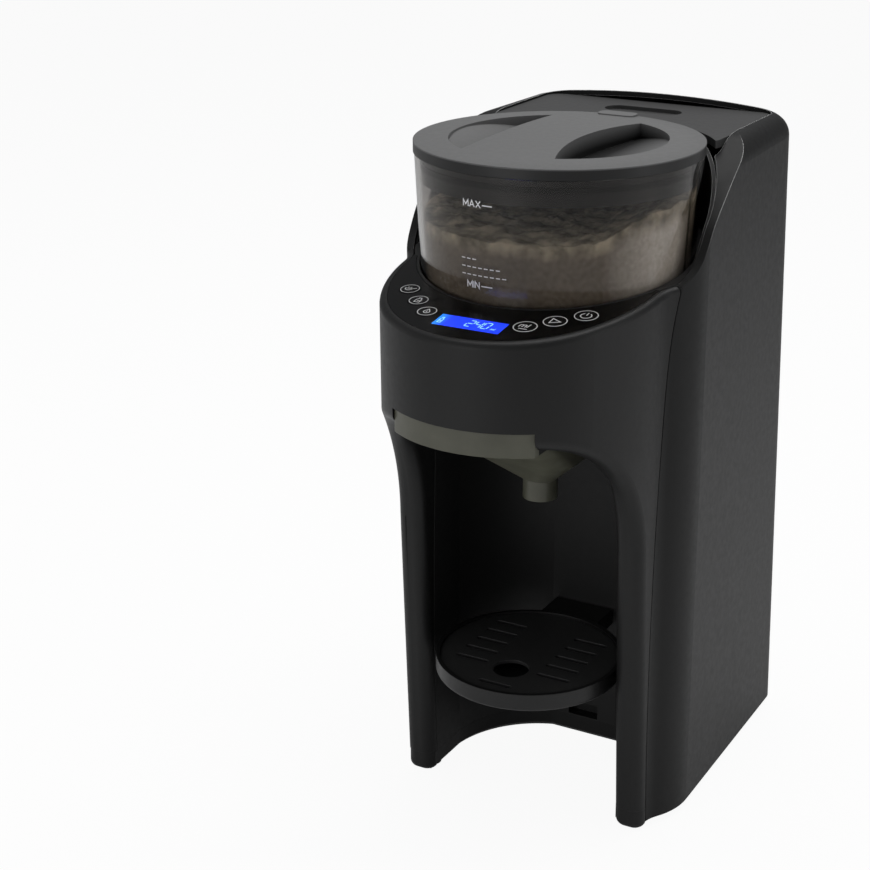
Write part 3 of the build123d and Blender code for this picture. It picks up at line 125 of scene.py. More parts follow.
def blend(nodes, links, share, first, second):
    """Two shaders mixed by share."""
    mix = nodes.new("ShaderNodeMixShader")
    for socket, output in zip(mix.inputs, (share, first, second)):
        links.new(output, socket)
    return mix.outputs[0]


# ---------------------------------------------------------------- camera, stage and light
def make_camera():
    data = bpy.data.cameras.new("camera")
    data.sensor_width = CAMERA_SENSOR
    data.lens = CAMERA_LENS
    data.shift_x = CAMERA_SHIFT
    camera = bpy.data.objects.new("camera", data)
    camera.location = Vector((CAMERA_RIGHT, JAR_Y - CAMERA_BACK, CAMERA_UP)) * MM
    camera.rotation_euler = (math.radians(CAMERA_TILT), 0, math.radians(CAMERA_TURN))
    bpy.context.scene.collection.objects.link(camera)
    bpy.context.scene.camera = camera


def soft_box(name, place, target, width, height, power):
    data = bpy.data.lights.new(name, "AREA")
    data.shape = "RECTANGLE"
    data.size, data.size_y = width, height
    data.energy = power
    light = bpy.data.objects.new(name, data)
    light.location = place
    light.rotation_euler = (Vector(target) - light.location).to_track_quat("-Z", "Y").to_euler()
    bpy.context.scene.collection.objects.link(light)


def make_world():
    """White where the camera sees it or looks through glass, a weak fill light otherwise."""
    world = bpy.data.worlds.new("studio")
    world.use_nodes = True
    bpy.context.scene.world = world
    nodes, links = world.node_tree.nodes, world.node_tree.links
    seen = nodes["Background"]
    seen.inputs["Color"].default_value = (1, 1, 1, 1)
    seen.inputs["Strength"].default_value = 1.0
    fill = nodes.new("ShaderNodeBackground")
    fill.inputs["Color"].default_value = (0.97, 0.98, 1, 1)
    fill.inputs["Strength"].default_value = WORLD_FILL
    share = white_share(nodes, links, WORLD_WHITE)
    surface = blend(nodes, links, share, fill.outputs[0], seen.outputs[0])
    links.new(surface, nodes["World Output"].inputs["Surface"])


def floor_look():
    """Pale paper that the camera sees as nearly white, with the object's shadow on it."""
    material = bpy.data.materials.new("floor_paper")
    material.use_nodes = True
    nodes, links = material.node_tree.nodes, material.node_tree.links
    shader = nodes["Principled BSDF"]
    shader.inputs["Base Color"].default_value = (0.9, 0.9, 0.9, 1)
    shader.inputs["Roughness"].default_value = 0.9
    shader.inputs["Specular IOR Level"].default_value = 0.1
    glow = nodes.new("ShaderNodeEmission")
    share = white_share(nodes, links, FLOOR_WHITE)
    surface = blend(nodes, links, share, shader.outputs[0], glow.outputs[0])
    links.new(surface, nodes["Material Output"].inputs["Surface"])
    return material


def make_floor():
    mesh = bpy.data.meshes.new("floor")
    corners = [(x * FLOOR_HALF, y * FLOOR_HALF, 0) for x, y in ((-1, -1), (1, -1), (1, 1), (-1, 1))]
    mesh.from_pydata(corners, [], [(0, 1, 2, 3)])
    floor = bpy.data.objects.new("floor", mesh)
    bpy.context.scene.collection.objects.link(floor)
    mesh.materials.append(floor_look())


# ---------------------------------------------------------------- materials
class Look:
    """A material under construction: its Principled shader and the nodes that feed it."""

    def __init__(self, name):
        self.material = bpy.data.materials.new(name)
        self.material.use_nodes = True
        self.nodes = self.material.node_tree.nodes
        self.links = self.material.node_tree.links
        self.shader = self.nodes["Principled BSDF"]
        self.place = self.nodes.new("ShaderNodeTexCoord").outputs["Object"]

    def set(self, **values):
        """Plain values on the shader's own sockets, with _ for a space in the name."""
        for key, value in values.items():
            self.shader.inputs[key.replace("_", " ")].default_value = value

    def feed(self, name, output):
        self.links.new(output, self.shader.inputs[name])

    def combine(self, operation, first, second):
        return combine(self.nodes, self.links, operation, first, second)

    def mapped(self, **values):
        """The place with the given Location or Scale applied."""
        node = self.nodes.new("ShaderNodeMapping")
        for key, value in values.items():
            node.inputs[key].default_value = value
        self.links.new(self.place, node.inputs["Vector"])
        return node.outputs["Vector"]

    def noise(self, scale, detail=2.0, stretch=None):
        """Noise with features of about 1 / scale metres; stretch squeezes it along each axis."""
        node = self.nodes.new("ShaderNodeTexNoise")
        node.inputs["Scale"].default_value = scale
        node.inputs["Detail"].default_value = detail
        source = self.mapped(Scale=stretch) if stretch else self.place
        self.links.new(source, node.inputs["Vector"])
        return node.outputs["Fac"]

    def spread(self, value, low, high, start=0.3, end=0.7):
        """value, from start to end, mapped to low to high."""
        node = self.nodes.new("ShaderNodeMapRange")
        node.inputs["From Min"].default_value = start
        node.inputs["From Max"].default_value = end
        node.inputs["To Min"].default_value = low
        node.inputs["To Max"].default_value = high
        self.links.new(value, node.inputs["Value"])
        return node.outputs["Result"]

    def mix(self, share, first, second):
        """A colour between two colours, each a colour or an output."""
        node = self.nodes.new("ShaderNodeMix")
        node.data_type = "RGBA"
        self.links.new(share, node.inputs["Factor"])
        for socket, value in ((node.inputs[6], first), (node.inputs[7], second)):
            if isinstance(value, tuple):
                socket.default_value = value
            else:
                self.links.new(value, socket)
        return node.outputs[2]

    def mottled(self, value, color, shade):
        """Two colours mixed by a noise."""
        return self.mix(self.spread(value, 0, 1), color, shade)

    def part(self, vector, name):
        """One coordinate of a vector."""
        node = self.nodes.new("ShaderNodeSeparateXYZ")
        self.links.new(vector, node.inputs[0])
        return node.outputs[name]

    def axis(self, name):
        """One coordinate of the place, in metres."""
        return self.part(self.place, name)

    def jar_distance(self):
        """Distance from the jar's axis, in metres."""
        node = self.nodes.new("ShaderNodeVectorMath")
        node.operation = "LENGTH"
        self.links.new(self.mapped(Location=(0, -JAR_Y * MM, 0), Scale=(1, 1, 0)), node.inputs[0])
        return node.outputs["Value"]

    def jar_angle(self):
        """Angle around the jar's axis, in radians from +X."""
        across = self.combine("SUBTRACT", self.axis("Y"), JAR_Y * MM)
        return self.combine("ARCTAN2", across, self.axis("X"))

    def soft_edges(self):
        """The surface's normal with every sharp edge rounded."""
        node = self.nodes.new("ShaderNodeBevel")
        node.samples = 6
        node.inputs["Radius"].default_value = EDGE_R
        return node.outputs["Normal"]

    def highlight_edge_mask(self, soft, low, high):
        """Mask of a painted edge highlight: 1 on sharp edges, 0 elsewhere, blended in from the height low
        to the height high.
        """
        dot = self.nodes.new("ShaderNodeVectorMath")
        dot.operation = "DOT_PRODUCT"
        self.links.new(soft, dot.inputs[0])
        self.links.new(self.nodes.new("ShaderNodeNewGeometry").outputs["Normal"], dot.inputs[1])
        edge = self.spread(dot.outputs["Value"], 1, 0, start=0.86, end=0.985)
        return self.combine("MULTIPLY", edge, self.spread(self.axis("Z"), 0, 1, low, high))

    def bump(self, value, strength, distance, under=None):
        node = self.nodes.new("ShaderNodeBump")
        node.inputs["Strength"].default_value = strength
        node.inputs["Distance"].default_value = distance
        self.links.new(value, node.inputs["Height"])
        if under is not None:
            self.links.new(under, node.inputs["Normal"])
        return node.outputs["Normal"]


def moulded(name, color, shade, rough, grain=1500.0, relief=0.12, specular=0.35, painted_light=None):
    """Injection-moulded plastic: a spark-eroded grain, faint flow clouds and hand polish; a function given
    to it lays a painted highlight or painted shade over the colour.
    """
    look = Look(name)
    body = look.mottled(look.noise(scale=5), color, shade)
    specks = look.noise(grain)
    pale = look.spread(specks, 0, 0.35, start=0.5, end=0.8)
    body = look.mix(pale, body, scaled(color, 1.35, lift=0.002))
    soft = look.soft_edges()
    # a painted highlight or painted shade, where a function for it is given, is laid over the colour here
    look.feed("Base Color", painted_light(look, body, soft) if painted_light else body)
    look.feed("Roughness", look.spread(look.noise(scale=300, detail=5), rough - 0.03, rough + 0.03))
    look.feed("Normal", look.bump(specks, relief, GRAIN_DEPTH, soft))
    look.set(Specular_IOR_Level=specular)
    return look.material


def painted_rim_highlight(look, body, soft):
    """Painted highlight: a pale line painted along the crisp edge of the shell's rim, in place of the light
    that the edge catches.
    """
    # painted highlight: pale grey painted on the rim's sharp edge
    return look.mix(look.highlight_edge_mask(soft, RIM_HIGHLIGHT_LOW_Z, RIM_HIGHLIGHT_HIGH_Z), body, grey(225))


def painted_lid_shade(look, body, soft):
    """Painted shade: the lid is painted dark below its top face and painted darker into the right finger
    pocket.
    """
    # masks of painted shade: below the top face, and sunk into the finger pockets, stronger to the right
    below = look.spread(look.axis("Z"), 1, 0, LID_FACE_Z - 0.0006, LID_FACE_Z)
    sunk = look.spread(look.axis("Z"), 1, 0, LID_FACE_Z - 0.006, LID_FACE_Z + 0.001)
    right = look.spread(look.axis("X"), 0.25, 1, start=-0.012, end=0.012)
    outside = look.spread(look.jar_distance(), 0, 1, LID_POCKET_R, LID_POCKET_R + 0.0005)
    # painted shade in the right finger pocket
    pocket_shaded = look.mix(look.combine("MULTIPLY", sunk, right), body, grey(14))
    # painted shade below the top face, outside the finger pockets
    return look.mix(look.combine("MULTIPLY", below, outside), pocket_shaded, grey(26))


def glossy_black(name, color, rough):
    """Polished panel with faint wipe marks."""
    look = Look(name)
    wipes = look.noise(scale=55, detail=6, stretch=(1, 0.35, 1))
    look.feed("Base Color", look.mottled(wipes, color, scaled(color, 0.6)))
    look.feed("Roughness", look.spread(wipes, rough, rough + 0.08))
    look.feed("Normal", look.bump(look.noise(scale=30), strength=0.03, distance=0.0004))
    look.set(Specular_IOR_Level=0.1)
    return look.material


def clear_plastic(name, tint, passed, rough):
    """Tinted clear plastic that lets lamps through, with fine mould streaks."""
    look = Look(name)
    streaks = look.noise(scale=26, detail=4, stretch=(1, 1, 0.18))
    look.feed("Base Color", look.mottled(streaks, tint, scaled(tint, 0.86)))
    look.feed("Roughness", look.spread(streaks, rough, rough + 0.05))
    look.feed("Normal", look.bump(streaks, strength=0.05, distance=0.0006))
    look.set(Transmission_Weight=1.0, IOR=1.3, Specular_IOR_Level=0.5)
    lamps = look.nodes.new("ShaderNodeBsdfTransparent")
    lamps.inputs["Color"].default_value = passed
    shadow = look.nodes.new("ShaderNodeLightPath").outputs["Is Shadow Ray"]
    surface = blend(look.nodes, look.links, shadow, look.shader.outputs[0], lamps.outputs[0])
    look.links.new(surface, look.nodes["Material Output"].inputs["Surface"])
    return look.material


def frosted_look():
    """Frosted, milky grey-green plastic that glows where it is thin."""
    look = Look("frosted_plastic")
    mist = look.noise(scale=60, detail=4)
    look.feed("Base Color", look.mottled(mist, srgb(106, 106, 93), srgb(92, 92, 80)))
    look.feed("Roughness", look.spread(mist, 0.28, 0.4))
    look.feed("Normal", look.bump(mist, 0.05, 0.0004, look.soft_edges()))
    look.set(Transmission_Weight=0.3, IOR=1.4, Specular_IOR_Level=0.5)
    return look.material


def painted_light_share(look):
    """1 on the strip of painted light on the powder against the jar's right wall, 0 elsewhere."""
    angle = look.jar_angle()
    rising = look.spread(angle, 0, 1, math.radians(-46), math.radians(-22))
    falling = look.spread(angle, 1, 0, math.radians(-8), math.radians(2))
    return look.combine("MULTIPLY", rising, falling)


def powder_look():
    """Milk powder: beige with crumbs, mottled on its broken top, with a strip of painted light against the
    jar's right wall.
    """
    look = Look("milk_powder")
    crumbs = look.noise(scale=420, detail=6)
    clumps = look.noise(scale=95, detail=5)
    # the side's colour, painted darker and greyer than milk powder in place of the jar wall's tint
    darker_side = look.mottled(crumbs, srgb(132, 124, 113), srgb(110, 102, 92))
    # a paler copy of that colour: painted light
    painted_lit_side = look.mottled(crumbs, srgb(238, 234, 228), srgb(214, 209, 201))
    # the strip of painted light lies against the jar's right wall
    side = look.mix(painted_light_share(look), darker_side, painted_lit_side)
    patches = look.spread(clumps, 0, 1, start=0.38, end=0.62)
    top = look.mix(patches, srgb(206, 196, 176), srgb(118, 112, 98))
    up = look.part(look.nodes.new("ShaderNodeNewGeometry").outputs["Normal"], "Z")
    look.feed("Base Color", look.mix(look.spread(up, 0, 1, start=0.15, end=0.6), side, top))
    look.feed("Roughness", look.spread(crumbs, 0.85, 1.0))
    lumps = look.bump(clumps, strength=0.4, distance=0.002)
    look.feed("Normal", look.bump(crumbs, 0.6, 0.0006, lumps))
    look.set(Specular_IOR_Level=0.15)
    return look.material


def metal(name, color, rough, stretch):
    """Brushed or sintered metal with streaks along one axis."""
    look = Look(name)
    streaks = look.noise(scale=240, detail=4, stretch=stretch)
    look.feed("Base Color", look.mottled(streaks, color, scaled(color, 0.7)))
    look.feed("Roughness", look.spread(streaks, rough, rough + 0.2))
    look.feed("Normal", look.bump(streaks, strength=0.15, distance=0.0002))
    look.set(Metallic=1.0)
    return look.material


def silicone_look():
    """Milky silicone rubber with dust that sticks to it."""
    look = Look("silicone")
    dust = look.noise(scale=160, detail=5)
    look.feed("Base Color", look.mottled(dust, srgb(214, 213, 206), srgb(184, 182, 174)))
    look.feed("Roughness", look.spread(dust, 0.35, 0.55))
    look.feed("Normal", look.bump(dust, strength=0.1, distance=0.0003))
    look.set(Subsurface_Weight=0.15, Subsurface_Radius=(0.004, 0.004, 0.004))
    return look.material


def board_look():
    """Circuit board: green solder mask over a net of copper tracks."""
    look = Look("circuit_board")
    tracks = look.nodes.new("ShaderNodeTexVoronoi")
    tracks.feature = "DISTANCE_TO_EDGE"
    tracks.inputs["Scale"].default_value = 260
    look.links.new(look.place, tracks.inputs["Vector"])
    lines = look.spread(tracks.outputs["Distance"], 1, 0, start=0.03, end=0.08)
    look.feed("Base Color", look.mix(lines, srgb(22, 74, 44), srgb(58, 118, 70)))
    look.feed("Roughness", look.spread(look.noise(scale=200, detail=3), 0.25, 0.4))
    look.feed("Normal", look.bump(lines, strength=0.3, distance=0.0001))
    return look.material


def screen_look():
    """Backlit blue display, paler towards the lamp at its left end."""
    look = Look("blue_display")
    across = look.spread(look.axis("X"), 0, 1, -DISPLAY_HALF, DISPLAY_HALF)
    near_lamp = look.spread(look.axis("X"), 1, 0, -DISPLAY_HALF, -DISPLAY_HALF + 0.006)
    glow = look.mix(near_lamp, srgb(28, 62, 250), srgb(40, 150, 255))
    uneven = look.spread(look.noise(scale=220, detail=4), 0, 0.35)
    color = look.mix(uneven, glow, srgb(14, 40, 215))
    look.feed("Base Color", look.mix(across, color, srgb(24, 60, 240)))
    look.feed("Emission Color", color)
    look.set(Emission_Strength=0.78)
    look.feed("Roughness", look.spread(look.noise(scale=90, detail=3), 0.1, 0.18))
    return look.material


def ink(name, color, glow=0.0):
    """Printed or lit marks, slightly uneven like screen print."""
    look = Look(name)
    uneven = look.noise(scale=1800, detail=3)
    shade = look.mottled(uneven, color, scaled(color, 0.8))
    look.feed("Base Color", shade)
    look.feed("Roughness", look.spread(uneven, 0.4, 0.6))
    if glow:
        look.feed("Emission Color", shade)
        look.set(Emission_Strength=glow)
    return look.material


LOOKS = {          # a material and the CAD nodes that have it
    "housing": (moulded("black_moulding", grey(25), grey(22), 0.46, specular=0.27),
                ["front_housing", "base_plate", "jar_seat"]),
    "bay": (moulded("bay_moulding", grey(30), grey(26), 0.5, specular=0.3), ["bay_liner"]),
    # the shell carries a painted highlight along its rim's edge
    "shell": (moulded("charcoal_moulding", grey(20), grey(18), 0.46, specular=0.2, painted_light=painted_rim_highlight),
              ["rear_shell", "niche_wall"]),
    "top": (moulded("top_moulding", grey(58), grey(55), 0.48), ["tank_lid"]),
    # the jar lid carries painted shade below its top face and in its right finger pocket
    "lid": (moulded("grey_moulding", grey(106), grey(101), 0.42, grain=1700, relief=0.08,
                    painted_light=painted_lid_shade), ["jar_lid"]),
    "jar": (clear_plastic("smoke_plastic", srgb(204, 201, 198), srgb(210, 206, 202), 0.02),
            ["powder_jar", "water_tank"]),
    "funnel": (frosted_look(), ["funnel", "funnel_cover"]),
    "powder": (powder_look(), ["powder"]),
    "panel": (glossy_black("panel_gloss", grey(8), 0.14), ["control_panel"]),
    "button": (glossy_black("button_gloss", grey(17), 0.2),
               ["unit_button", "start_button", "power_button", "temperature_button", "volume_button",
                "scoop_button"]),
    "screen": (screen_look(), ["display_window"]),
    "tray": (moulded("tray_moulding", grey(27), grey(23), 0.4, grain=1300, relief=0.1), ["drip_tray"]),
    "grate": (moulded("grate_moulding", grey(52), grey(46), 0.36, grain=1300, relief=0.1, specular=0.5),
              ["tray_grate"]),
    "acetal": (moulded("white_moulding", grey(216), grey(204), 0.35, grain=1900, relief=0.05,
                       specular=0.5),
               ["powder_wheel", "drive_gear", "motor_pinion", "powder_chute", "tank_valve",
                "tank_socket"]),
    "pocket_shaded": (moulded("grey_inner_moulding", grey(88), grey(76), 0.5),
              ["tank_shelf", "water_pump", "water_nozzle", "display_module", "power_inlet"]),
    "silicone": (silicone_look(), ["socket_seal", "suction_hose", "heater_hose", "nozzle_hose"]),
    "rubber": (moulded("black_rubber", grey(24), grey(30), 0.8, grain=900, relief=0.3, specular=0.2),
               ["foot_pads", "lid_seal"]),
    "steel": (metal("brushed_steel", grey(190), 0.3, (1, 1, 0.05)), ["gear_motor", "water_heater"]),
    "zinc": (metal("zinc_steel", grey(205), 0.25, (0.3, 1, 1)),
             ["motor_screws", "panel_screws", "tie_rods", "base_screws"]),
    "bronze": (metal("sintered_bronze", srgb(186, 140, 86), 0.4, (1, 1, 1)), ["drive_bush"]),
    "board": (board_look(), ["button_board", "main_board", "tact_switches"]),
}


def dress_nodes():
    """Every CAD node gets its material in its own slots."""
    for material, names in LOOKS.values():
        for name in names:
            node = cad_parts[name]
            if not node.material_slots:
                node.data.materials.append(material)
            for slot in node.material_slots:
                slot.material = material


# ---------------------------------------------------------------- places
def jar_radius(z):
    """Outer radius of the tapered jar at a height."""
    return JAR_FOOT_R + (JAR_R - JAR_FOOT_R) * (z - JAR_FOOT_Z) / (JAR_TOP_Z - JAR_FOOT_Z)


def on_jar(x, z):
    """Maps flat marks around (x, z) onto the front of the jar."""
    def place(u, v, w):
        radius = jar_radius(z + v) + w
        angle = math.asin(x / jar_radius(z)) + u / jar_radius(z)
        return Vector((radius * math.sin(angle), JAR_Y - radius * math.cos(angle), z + v)) * MM
    return place


def on_panel(x, y, lift):
    """Maps flat marks around (x, y) onto the control panel's plane."""
    along = Vector((0, math.cos(PANEL_TILT), math.sin(PANEL_TILT)))
    normal = Vector((0, -math.sin(PANEL_TILT), math.cos(PANEL_TILT)))
    foot = Vector((x, y + JAR_Y, PANEL_Z + (y - PANEL_Y) * math.tan(PANEL_TILT)))

    def place(u, v, w):
        return (foot + Vector((1, 0, 0)) * u + along * v + normal * (w + lift)) * MM
    return place


# ---------------------------------------------------------------- marks drawn as thin raised strokes
def arc_points(x, y, radius, start, end, steps):
    """Points of an arc, angles in degrees from +X."""
    found = []
    for k in range(steps + 1):
        angle = math.radians(start + (end - start) * k / steps)
        found.append((x + radius * math.cos(angle), y + radius * math.sin(angle)))
    return found


def in_pairs(items, closed):
    """Each item with the next one, and the last with the first where the line is closed."""
    return list(zip(items, items[1:] + items[:1] if closed else items[1:]))


def divided(points, closed):
    """The same line with no run longer than LONGEST_RUN."""
    out = []
    for (x0, y0), (x1, y1) in in_pairs(points, closed):
        count = max(1, math.ceil(math.hypot(x1 - x0, y1 - y0) / LONGEST_RUN))
        out += [(x0 + (x1 - x0) * k / count, y0 + (y1 - y0) * k / count) for k in range(count)]
    return out if closed else out + [points[-1]]


def side_points(points, closed, k, width):
    """The stroke's two edge points beside point k, mitred at a corner."""
    here = Vector(points[k])
    ways = []
    if closed or k > 0:
        ways.append((here - Vector(points[k - 1])).normalized())
    if closed or k < len(points) - 1:
        ways.append((Vector(points[(k + 1) % len(points)]) - here).normalized())
    normals = [Vector((-way.y, way.x)) for way in ways]
    across = sum(normals, Vector((0, 0))).normalized()
    reach = width / 2 / max(0.5, across.dot(normals[0]))
    return here + across * reach, here - across * reach


def stroke(bm, points, closed, width, place):
    """A closed strip of even width and height along a line."""
    points = divided(points, closed)
    rings = []
    for k in range(len(points)):
        left, right = side_points(points, closed, k, width)
        ring = [place(p.x, p.y, w) for p, w in ((left, 0), (right, 0), (right, DECAL_T), (left, DECAL_T))]
        rings.append([bm.verts.new(p) for p in ring])
    for one, two in in_pairs(rings, closed):
        for i in range(4):
            j = (i + 1) % 4
            bm.faces.new((one[i], one[j], two[j], two[i]))
    if not closed:
        bm.faces.new(rings[0][::-1])
        bm.faces.new(rings[-1])


def add_piece(name, bm, material, body, smooth=False):
    """A mesh object in the scene that rides on a body."""
    bmesh.ops.recalc_face_normals(bm, faces=bm.faces)
    mesh = bpy.data.meshes.new(name)
    bm.to_mesh(mesh)
    bm.free()
    for face in mesh.polygons:
        face.use_smooth = smooth
    mesh.materials.append(material)
    piece = bpy.data.objects.new(name, mesh)
    bpy.context.scene.collection.objects.link(piece)
    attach(piece, body)
    return piece


def marks(name, strokes, width, place, material, body):
    """One printed mark made of strokes, each a list of points and whether it is closed."""
    bm = bmesh.new()
    for points, closed in strokes:
        stroke(bm, points, closed, width, place)
    piece = add_piece(name, bm, material, body)


LETTERS = {       # strokes in a box one unit high, and the letter's width
    "M": ([[(0, 0), (0, 1), (0.45, 0.3), (0.9, 1), (0.9, 0)]], 0.9),
    "A": ([[(0, 0), (0.42, 1), (0.84, 0)], [(0.15, 0.34), (0.69, 0.34)]], 0.84),
    "X": ([[(0, 0), (0.8, 1)], [(0, 1), (0.8, 0)]], 0.8),
    "I": ([[(0, 0), (0, 1)]], 0.0),
    "N": ([[(0, 0), (0, 1), (0.72, 0), (0.72, 1)]], 0.72),
    "m": ([[(0, 0), (0, 0.68)], [(0, 0.5), *arc_points(0.22, 0.46, 0.22, 150, 0, 6), (0.44, 0)],
           [(0.44, 0.5), *arc_points(0.66, 0.46, 0.22, 150, 0, 6), (0.88, 0)]], 0.88),
    "l": ([[(0, 0), (0, 1)]], 0.0),
}


def word(text, left, low, height, gap, slant=0.0):
    """Strokes of a word that starts at left and stands on low."""
    out = []
    x = left
    for letter in text:
        shapes, wide = LETTERS[letter]
        for points in shapes:
            out.append(([(x + height * (u + slant * v), low + height * v) for u, v in points], False))
        x += height * wide + gap
    return out


# ---------------------------------------------------------------- icons on the buttons
def icon_unit():
    return word("ml", -3.3, -0.8, 3.8, 1.1, 0.18) + [([(-2.4, -2.7), (2.2, -2.7)], False)]


def icon_start():
    return [([(-2.2, -2.6), (2.9, 0), (-2.2, 2.6)], True)]


def icon_power():
    return [(arc_points(0, -0.2, 2.8, 125, 415, 26), False), ([(0, 0.2), (0, 3.2)], False)]


def icon_temperature():
    drop = [(0, 2.5), *arc_points(0, -0.5, 1.6, 25, -205, 18)]
    return [(drop, True), ([(0, -1.2), (0, 0.6)], False)]


def icon_volume():
    bottle = [(-1.5, -2.4), (1.5, -2.4), (1.5, 0.6), (0.7, 1.3), (0.7, 2.4), (-0.7, 2.4), (-0.7, 1.3),
              (-1.5, 0.6)]
    return [(bottle, True), ([(-0.6, -0.7), (1.5, -0.7)], False)]


def icon_scoop():
    bowl = arc_points(-0.8, 0.2, 1.9, 180, 360, 14)
    return [(bowl, True), ([(1.2, 0.3), (3.2, 1.6)], False), ([(-1.8, 1.2), (-1.2, 1.9)], False),
            ([(-0.4, 1.2), (0.2, 1.9)], False)]


# ---------------------------------------------------------------- buttons
BUTTON_PROUD = 0.3
BUTTON_SPOTS = [(27.5, -90.5), (38.5, -80.0), (50.0, -69.0)]
BUTTONS = {       # the side, the caps' radius, and each button's icon from the middle outwards
    1: (6.6, {"unit_button": icon_unit, "start_button": icon_start, "power_button": icon_power}),
    -1: (5.6, {"temperature_button": icon_temperature, "volume_button": icon_volume,
               "scoop_button": icon_scoop}),
}
RING_INSET = 0.75          # from the cap's edge to the ring's middle
RING_STEPS = 48


def dress_buttons():
    """A thin pale ring and an icon on every button cap."""
    pale = ink("button_print", grey(238))
    ring_end = 360 * (RING_STEPS - 1) / RING_STEPS
    for side, (cap_r, icons) in BUTTONS.items():
        for (name, icon), (x, y) in zip(icons.items(), BUTTON_SPOTS):
            place = on_panel(side * x, y, BUTTON_PROUD - 0.01)
            ring = arc_points(0, 0, cap_r - RING_INSET, 0, ring_end, RING_STEPS - 1)
            marks(name + "_ring", [(ring, True)], 0.4, place, pale, name + "_cap")
            marks(name + "_icon", icon(), 0.5, place, pale, name + "_cap")


# ---------------------------------------------------------------- display
SEGMENTS = {      # ends of the seven segments of a digit in a box one by two
    "a": ((0, 2), (1, 2)), "b": ((1, 2), (1, 1)), "c": ((1, 1), (1, 0)), "d": ((0, 0), (1, 0)),
    "e": ((0, 1), (0, 0)), "f": ((0, 2), (0, 1)), "g": ((0, 1), (1, 1)),
}
SEGMENT_CUT = 0.12         # each segment stops short of its ends by this share
DIGITS = {"2": "abged", "4": "fgbc", "0": "abcdef"}
DIGIT_UNIT = 3.3           # width of a digit, and half its height
DIGIT_SLANT = 0.16
DIGIT_LEFT, DIGIT_LOW, DIGIT_PITCH = -2.2, -2.9, 4.5
DISPLAY_Y = -96.1
BOTTLE_SIGN = [(-16.9, -3.4), (-15.1, -3.4), (-15.1, 0.6), (-15.6, 1.4), (-15.6, 2.6), (-16.4, 2.6),
               (-16.4, 1.4), (-16.9, 0.6)]


def digit(number, left, low):
    """Strokes of one seven-segment digit."""
    out = []
    for key in DIGITS[number]:
        (x0, y0), (x1, y1) = SEGMENTS[key]
        x0, x1 = x0 + SEGMENT_CUT * (x1 - x0), x1 - SEGMENT_CUT * (x1 - x0)
        y0, y1 = y0 + SEGMENT_CUT * (y1 - y0), y1 - SEGMENT_CUT * (y1 - y0)
        ends = [(left + DIGIT_UNIT * (x + DIGIT_SLANT * y), low + DIGIT_UNIT * y)
                for x, y in ((x0, y0), (x1, y1))]
        out.append((ends, False))
    return out


def dress_display():
    """Seven-segment digits, a small unit and a bottle sign on the lit window."""
    lit = ink("display_light", srgb(150, 220, 255), 0.9)
    place = on_panel(0, DISPLAY_Y, 0.0)
    digits = []
    for k, number in enumerate("240"):
        digits += digit(number, DIGIT_LEFT + k * DIGIT_PITCH, DIGIT_LOW)
    unit = word("ml", 12.6, -3.0, 1.7, 0.6, 0.1)
    sign = [(BOTTLE_SIGN, True), ([(-16.0, -2.2), (-16.0, -0.6)], False)]
    marks("display_digits", digits, 0.5, place, lit, "housing")
    marks("display_unit", unit, 0.25, place, lit, "housing")
    marks("display_sign", sign, 0.4, place, lit, "housing")


# ---------------------------------------------------------------- jar marks
LEVELS = {        # height on the jar, where the word starts, and where its dash starts and ends
    "MAX": (353.7, 0.0, 11.4, 17.0),
    "MIN": (312.0, 1.5, 10.0, 16.4),
}
LEVEL_X = -16.4
LEVEL_LETTER = 3.4
LEVEL_GAP = 0.9
TICK_X, TICK_Z = -18.2, 316.6
TICK_ROWS = ((8.6, 3), (4.4, 7), (0.4, 8))         # height of a row and its number of ticks
TICK_PITCH, TICK_LENGTH = 3.4, 2.2


def dress_jar():
    """MAX and MIN lines on the jar's front, and rows of short ticks between them."""
    white = ink("jar_print", grey(238))
    for text, (z, left, dash_start, dash_end) in LEVELS.items():
        strokes = word(text, left, -LEVEL_LETTER / 2, LEVEL_LETTER, LEVEL_GAP)
        strokes.append(([(dash_start, -0.3), (dash_end, -0.3)], False))
        marks(text.lower() + "_mark", strokes, 0.62, on_jar(LEVEL_X, z), white, "jar")
    rows = []
    for z, count in TICK_ROWS:
        rows += [([(k * TICK_PITCH, z), (k * TICK_PITCH + TICK_LENGTH, z)], False) for k in range(count)]
    marks("jar_ticks", rows, 0.5, on_jar(TICK_X, TICK_Z), white, "jar")


# ---------------------------------------------------------------- powder
POWDER_LOW_Z = 335.5       # powder level at the front of the jar
POWDER_RISE = 2.5          # the middle stands higher by this
POWDER_SLOPE = 0.045       # it rises towards the back ...
POWDER_BANK = 12.0         # ... and is banked up against the right wall
BANK_START, BANK_END, BANK_LEAN = 26, 66, 0.25
DIMPLE_DEPTH, DIMPLE_R = 3.0, 60
DIMPLE_X, DIMPLE_Y = -6, 4
LUMP_H, LUMP_SCALE, LUMP_SEED = 1.8, 0.09, 3.1
CRUMB_H, CRUMB_SCALE, CRUMB_SEED = 0.7, 0.55, 7.7
WHEEL_SPACE_R = 69.2       # the stirring wheel turns in a hollow of this radius
WHEEL_ROOF_Z = 310.5
HUB_SPACE_R = 13.5
HUB_ROOF_Z = 314.5
POWDER_GAP = 0.25          # between the powder and the jar's wall
FLOOR_GAP = 0.1            # between the powder and the jar's floor
WALL_SHARES = (0.35, 0.7, 1.0)     # heights of the rings up the wall
POWDER_TURNS = 240         # points of a ring
POWDER_STEPS = 64          # rings over the top


def smooth_step(low, high, value):
    share = min(1.0, max(0.0, (value - low) / (high - low)))
    return share * share * (3 - 2 * share)


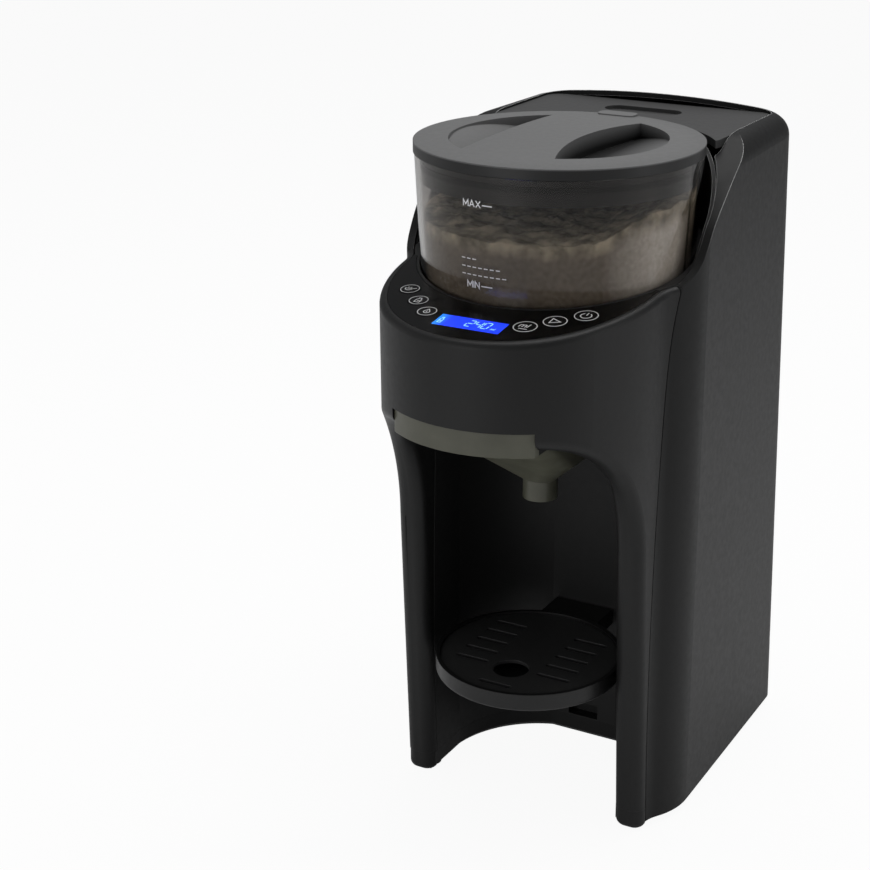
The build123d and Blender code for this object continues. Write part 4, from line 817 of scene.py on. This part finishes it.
def powder_top(x, y):
    """Height of the powder's broken surface."""
    bank = POWDER_BANK * smooth_step(BANK_START, BANK_END, x + BANK_LEAN * y)
    dimple = DIMPLE_DEPTH * smooth_step(DIMPLE_R, 0, math.hypot(x - DIMPLE_X, y - DIMPLE_Y))
    lumps = LUMP_H * noise.fractal(Vector((x * LUMP_SCALE, y * LUMP_SCALE, LUMP_SEED)), 1.0, 2.0, 5)
    crumbs = CRUMB_H * noise.noise(Vector((x * CRUMB_SCALE, y * CRUMB_SCALE, CRUMB_SEED)))
    return POWDER_LOW_Z + POWDER_RISE + POWDER_SLOPE * y + bank - dimple + lumps + crumbs


def inside_jar(z):
    """Radius of the powder where it lies against the jar's wall."""
    return jar_radius(z) - JAR_WALL - POWDER_GAP


def powder_rings():
    """Rings of (radius, height) pairs, from the hub's hollow out, up the wall and in over the top."""
    low = JAR_BED_Z + FLOOR_GAP
    hollow = [(HUB_SPACE_R, HUB_ROOF_Z), (HUB_SPACE_R, WHEEL_ROOF_Z), (WHEEL_SPACE_R, WHEEL_ROOF_Z),
              (WHEEL_SPACE_R, low), (inside_jar(JAR_BED_Z), low)]
    rings = [[corner] * POWDER_TURNS for corner in hollow]
    rim = inside_jar(POWDER_LOW_Z + 8)
    around = [(math.cos(2 * math.pi * k / POWDER_TURNS), math.sin(2 * math.pi * k / POWDER_TURNS))
              for k in range(POWDER_TURNS)]
    brink = [powder_top(rim * c, rim * s) for c, s in around]
    for share in WALL_SHARES:
        levels = [JAR_BED_Z + (z - JAR_BED_Z) * share for z in brink]
        rings.append([(inside_jar(z), z) for z in levels])
    for step in range(1, POWDER_STEPS):
        share = 1 - step / POWDER_STEPS
        radii = [inside_jar(z) * share for z in brink]
        rings.append([(r, powder_top(r * c, r * s)) for r, (c, s) in zip(radii, around)])
    return rings, around


def make_powder():
    """The powder fill: its wall follows the jar, its top is lumpy, its underside clears the wheel."""
    rings, around = powder_rings()
    bm = bmesh.new()
    grid = []
    for ring in rings:
        spots = [Vector((r * c, r * s + JAR_Y, z)) * MM for (r, z), (c, s) in zip(ring, around)]
        grid.append([bm.verts.new(spot) for spot in spots])
    for one, two in zip(grid, grid[1:]):
        for k in range(-1, POWDER_TURNS - 1):
            bm.faces.new((one[k], one[k + 1], two[k + 1], two[k]))
    for row, z in ((grid[0], HUB_ROOF_Z), (grid[-1], powder_top(0, 0))):
        middle = bm.verts.new(Vector((0, JAR_Y, z)) * MM)
        for k in range(-1, POWDER_TURNS - 1):
            bm.faces.new((row[k], row[k + 1], middle))
    powder = add_piece("powder_heap", bm, LOOKS["powder"][0], "jar", True)
    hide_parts("powder")


# ---------------------------------------------------------------- make everything
bpy.context.scene.view_settings.view_transform = "Standard"
make_camera()
make_world()
make_floor()
for light_name, values in LIGHTS.items():
    soft_box(light_name, *values)
dress_nodes()
make_powder()
dress_jar()
dress_display()
dress_buttons()
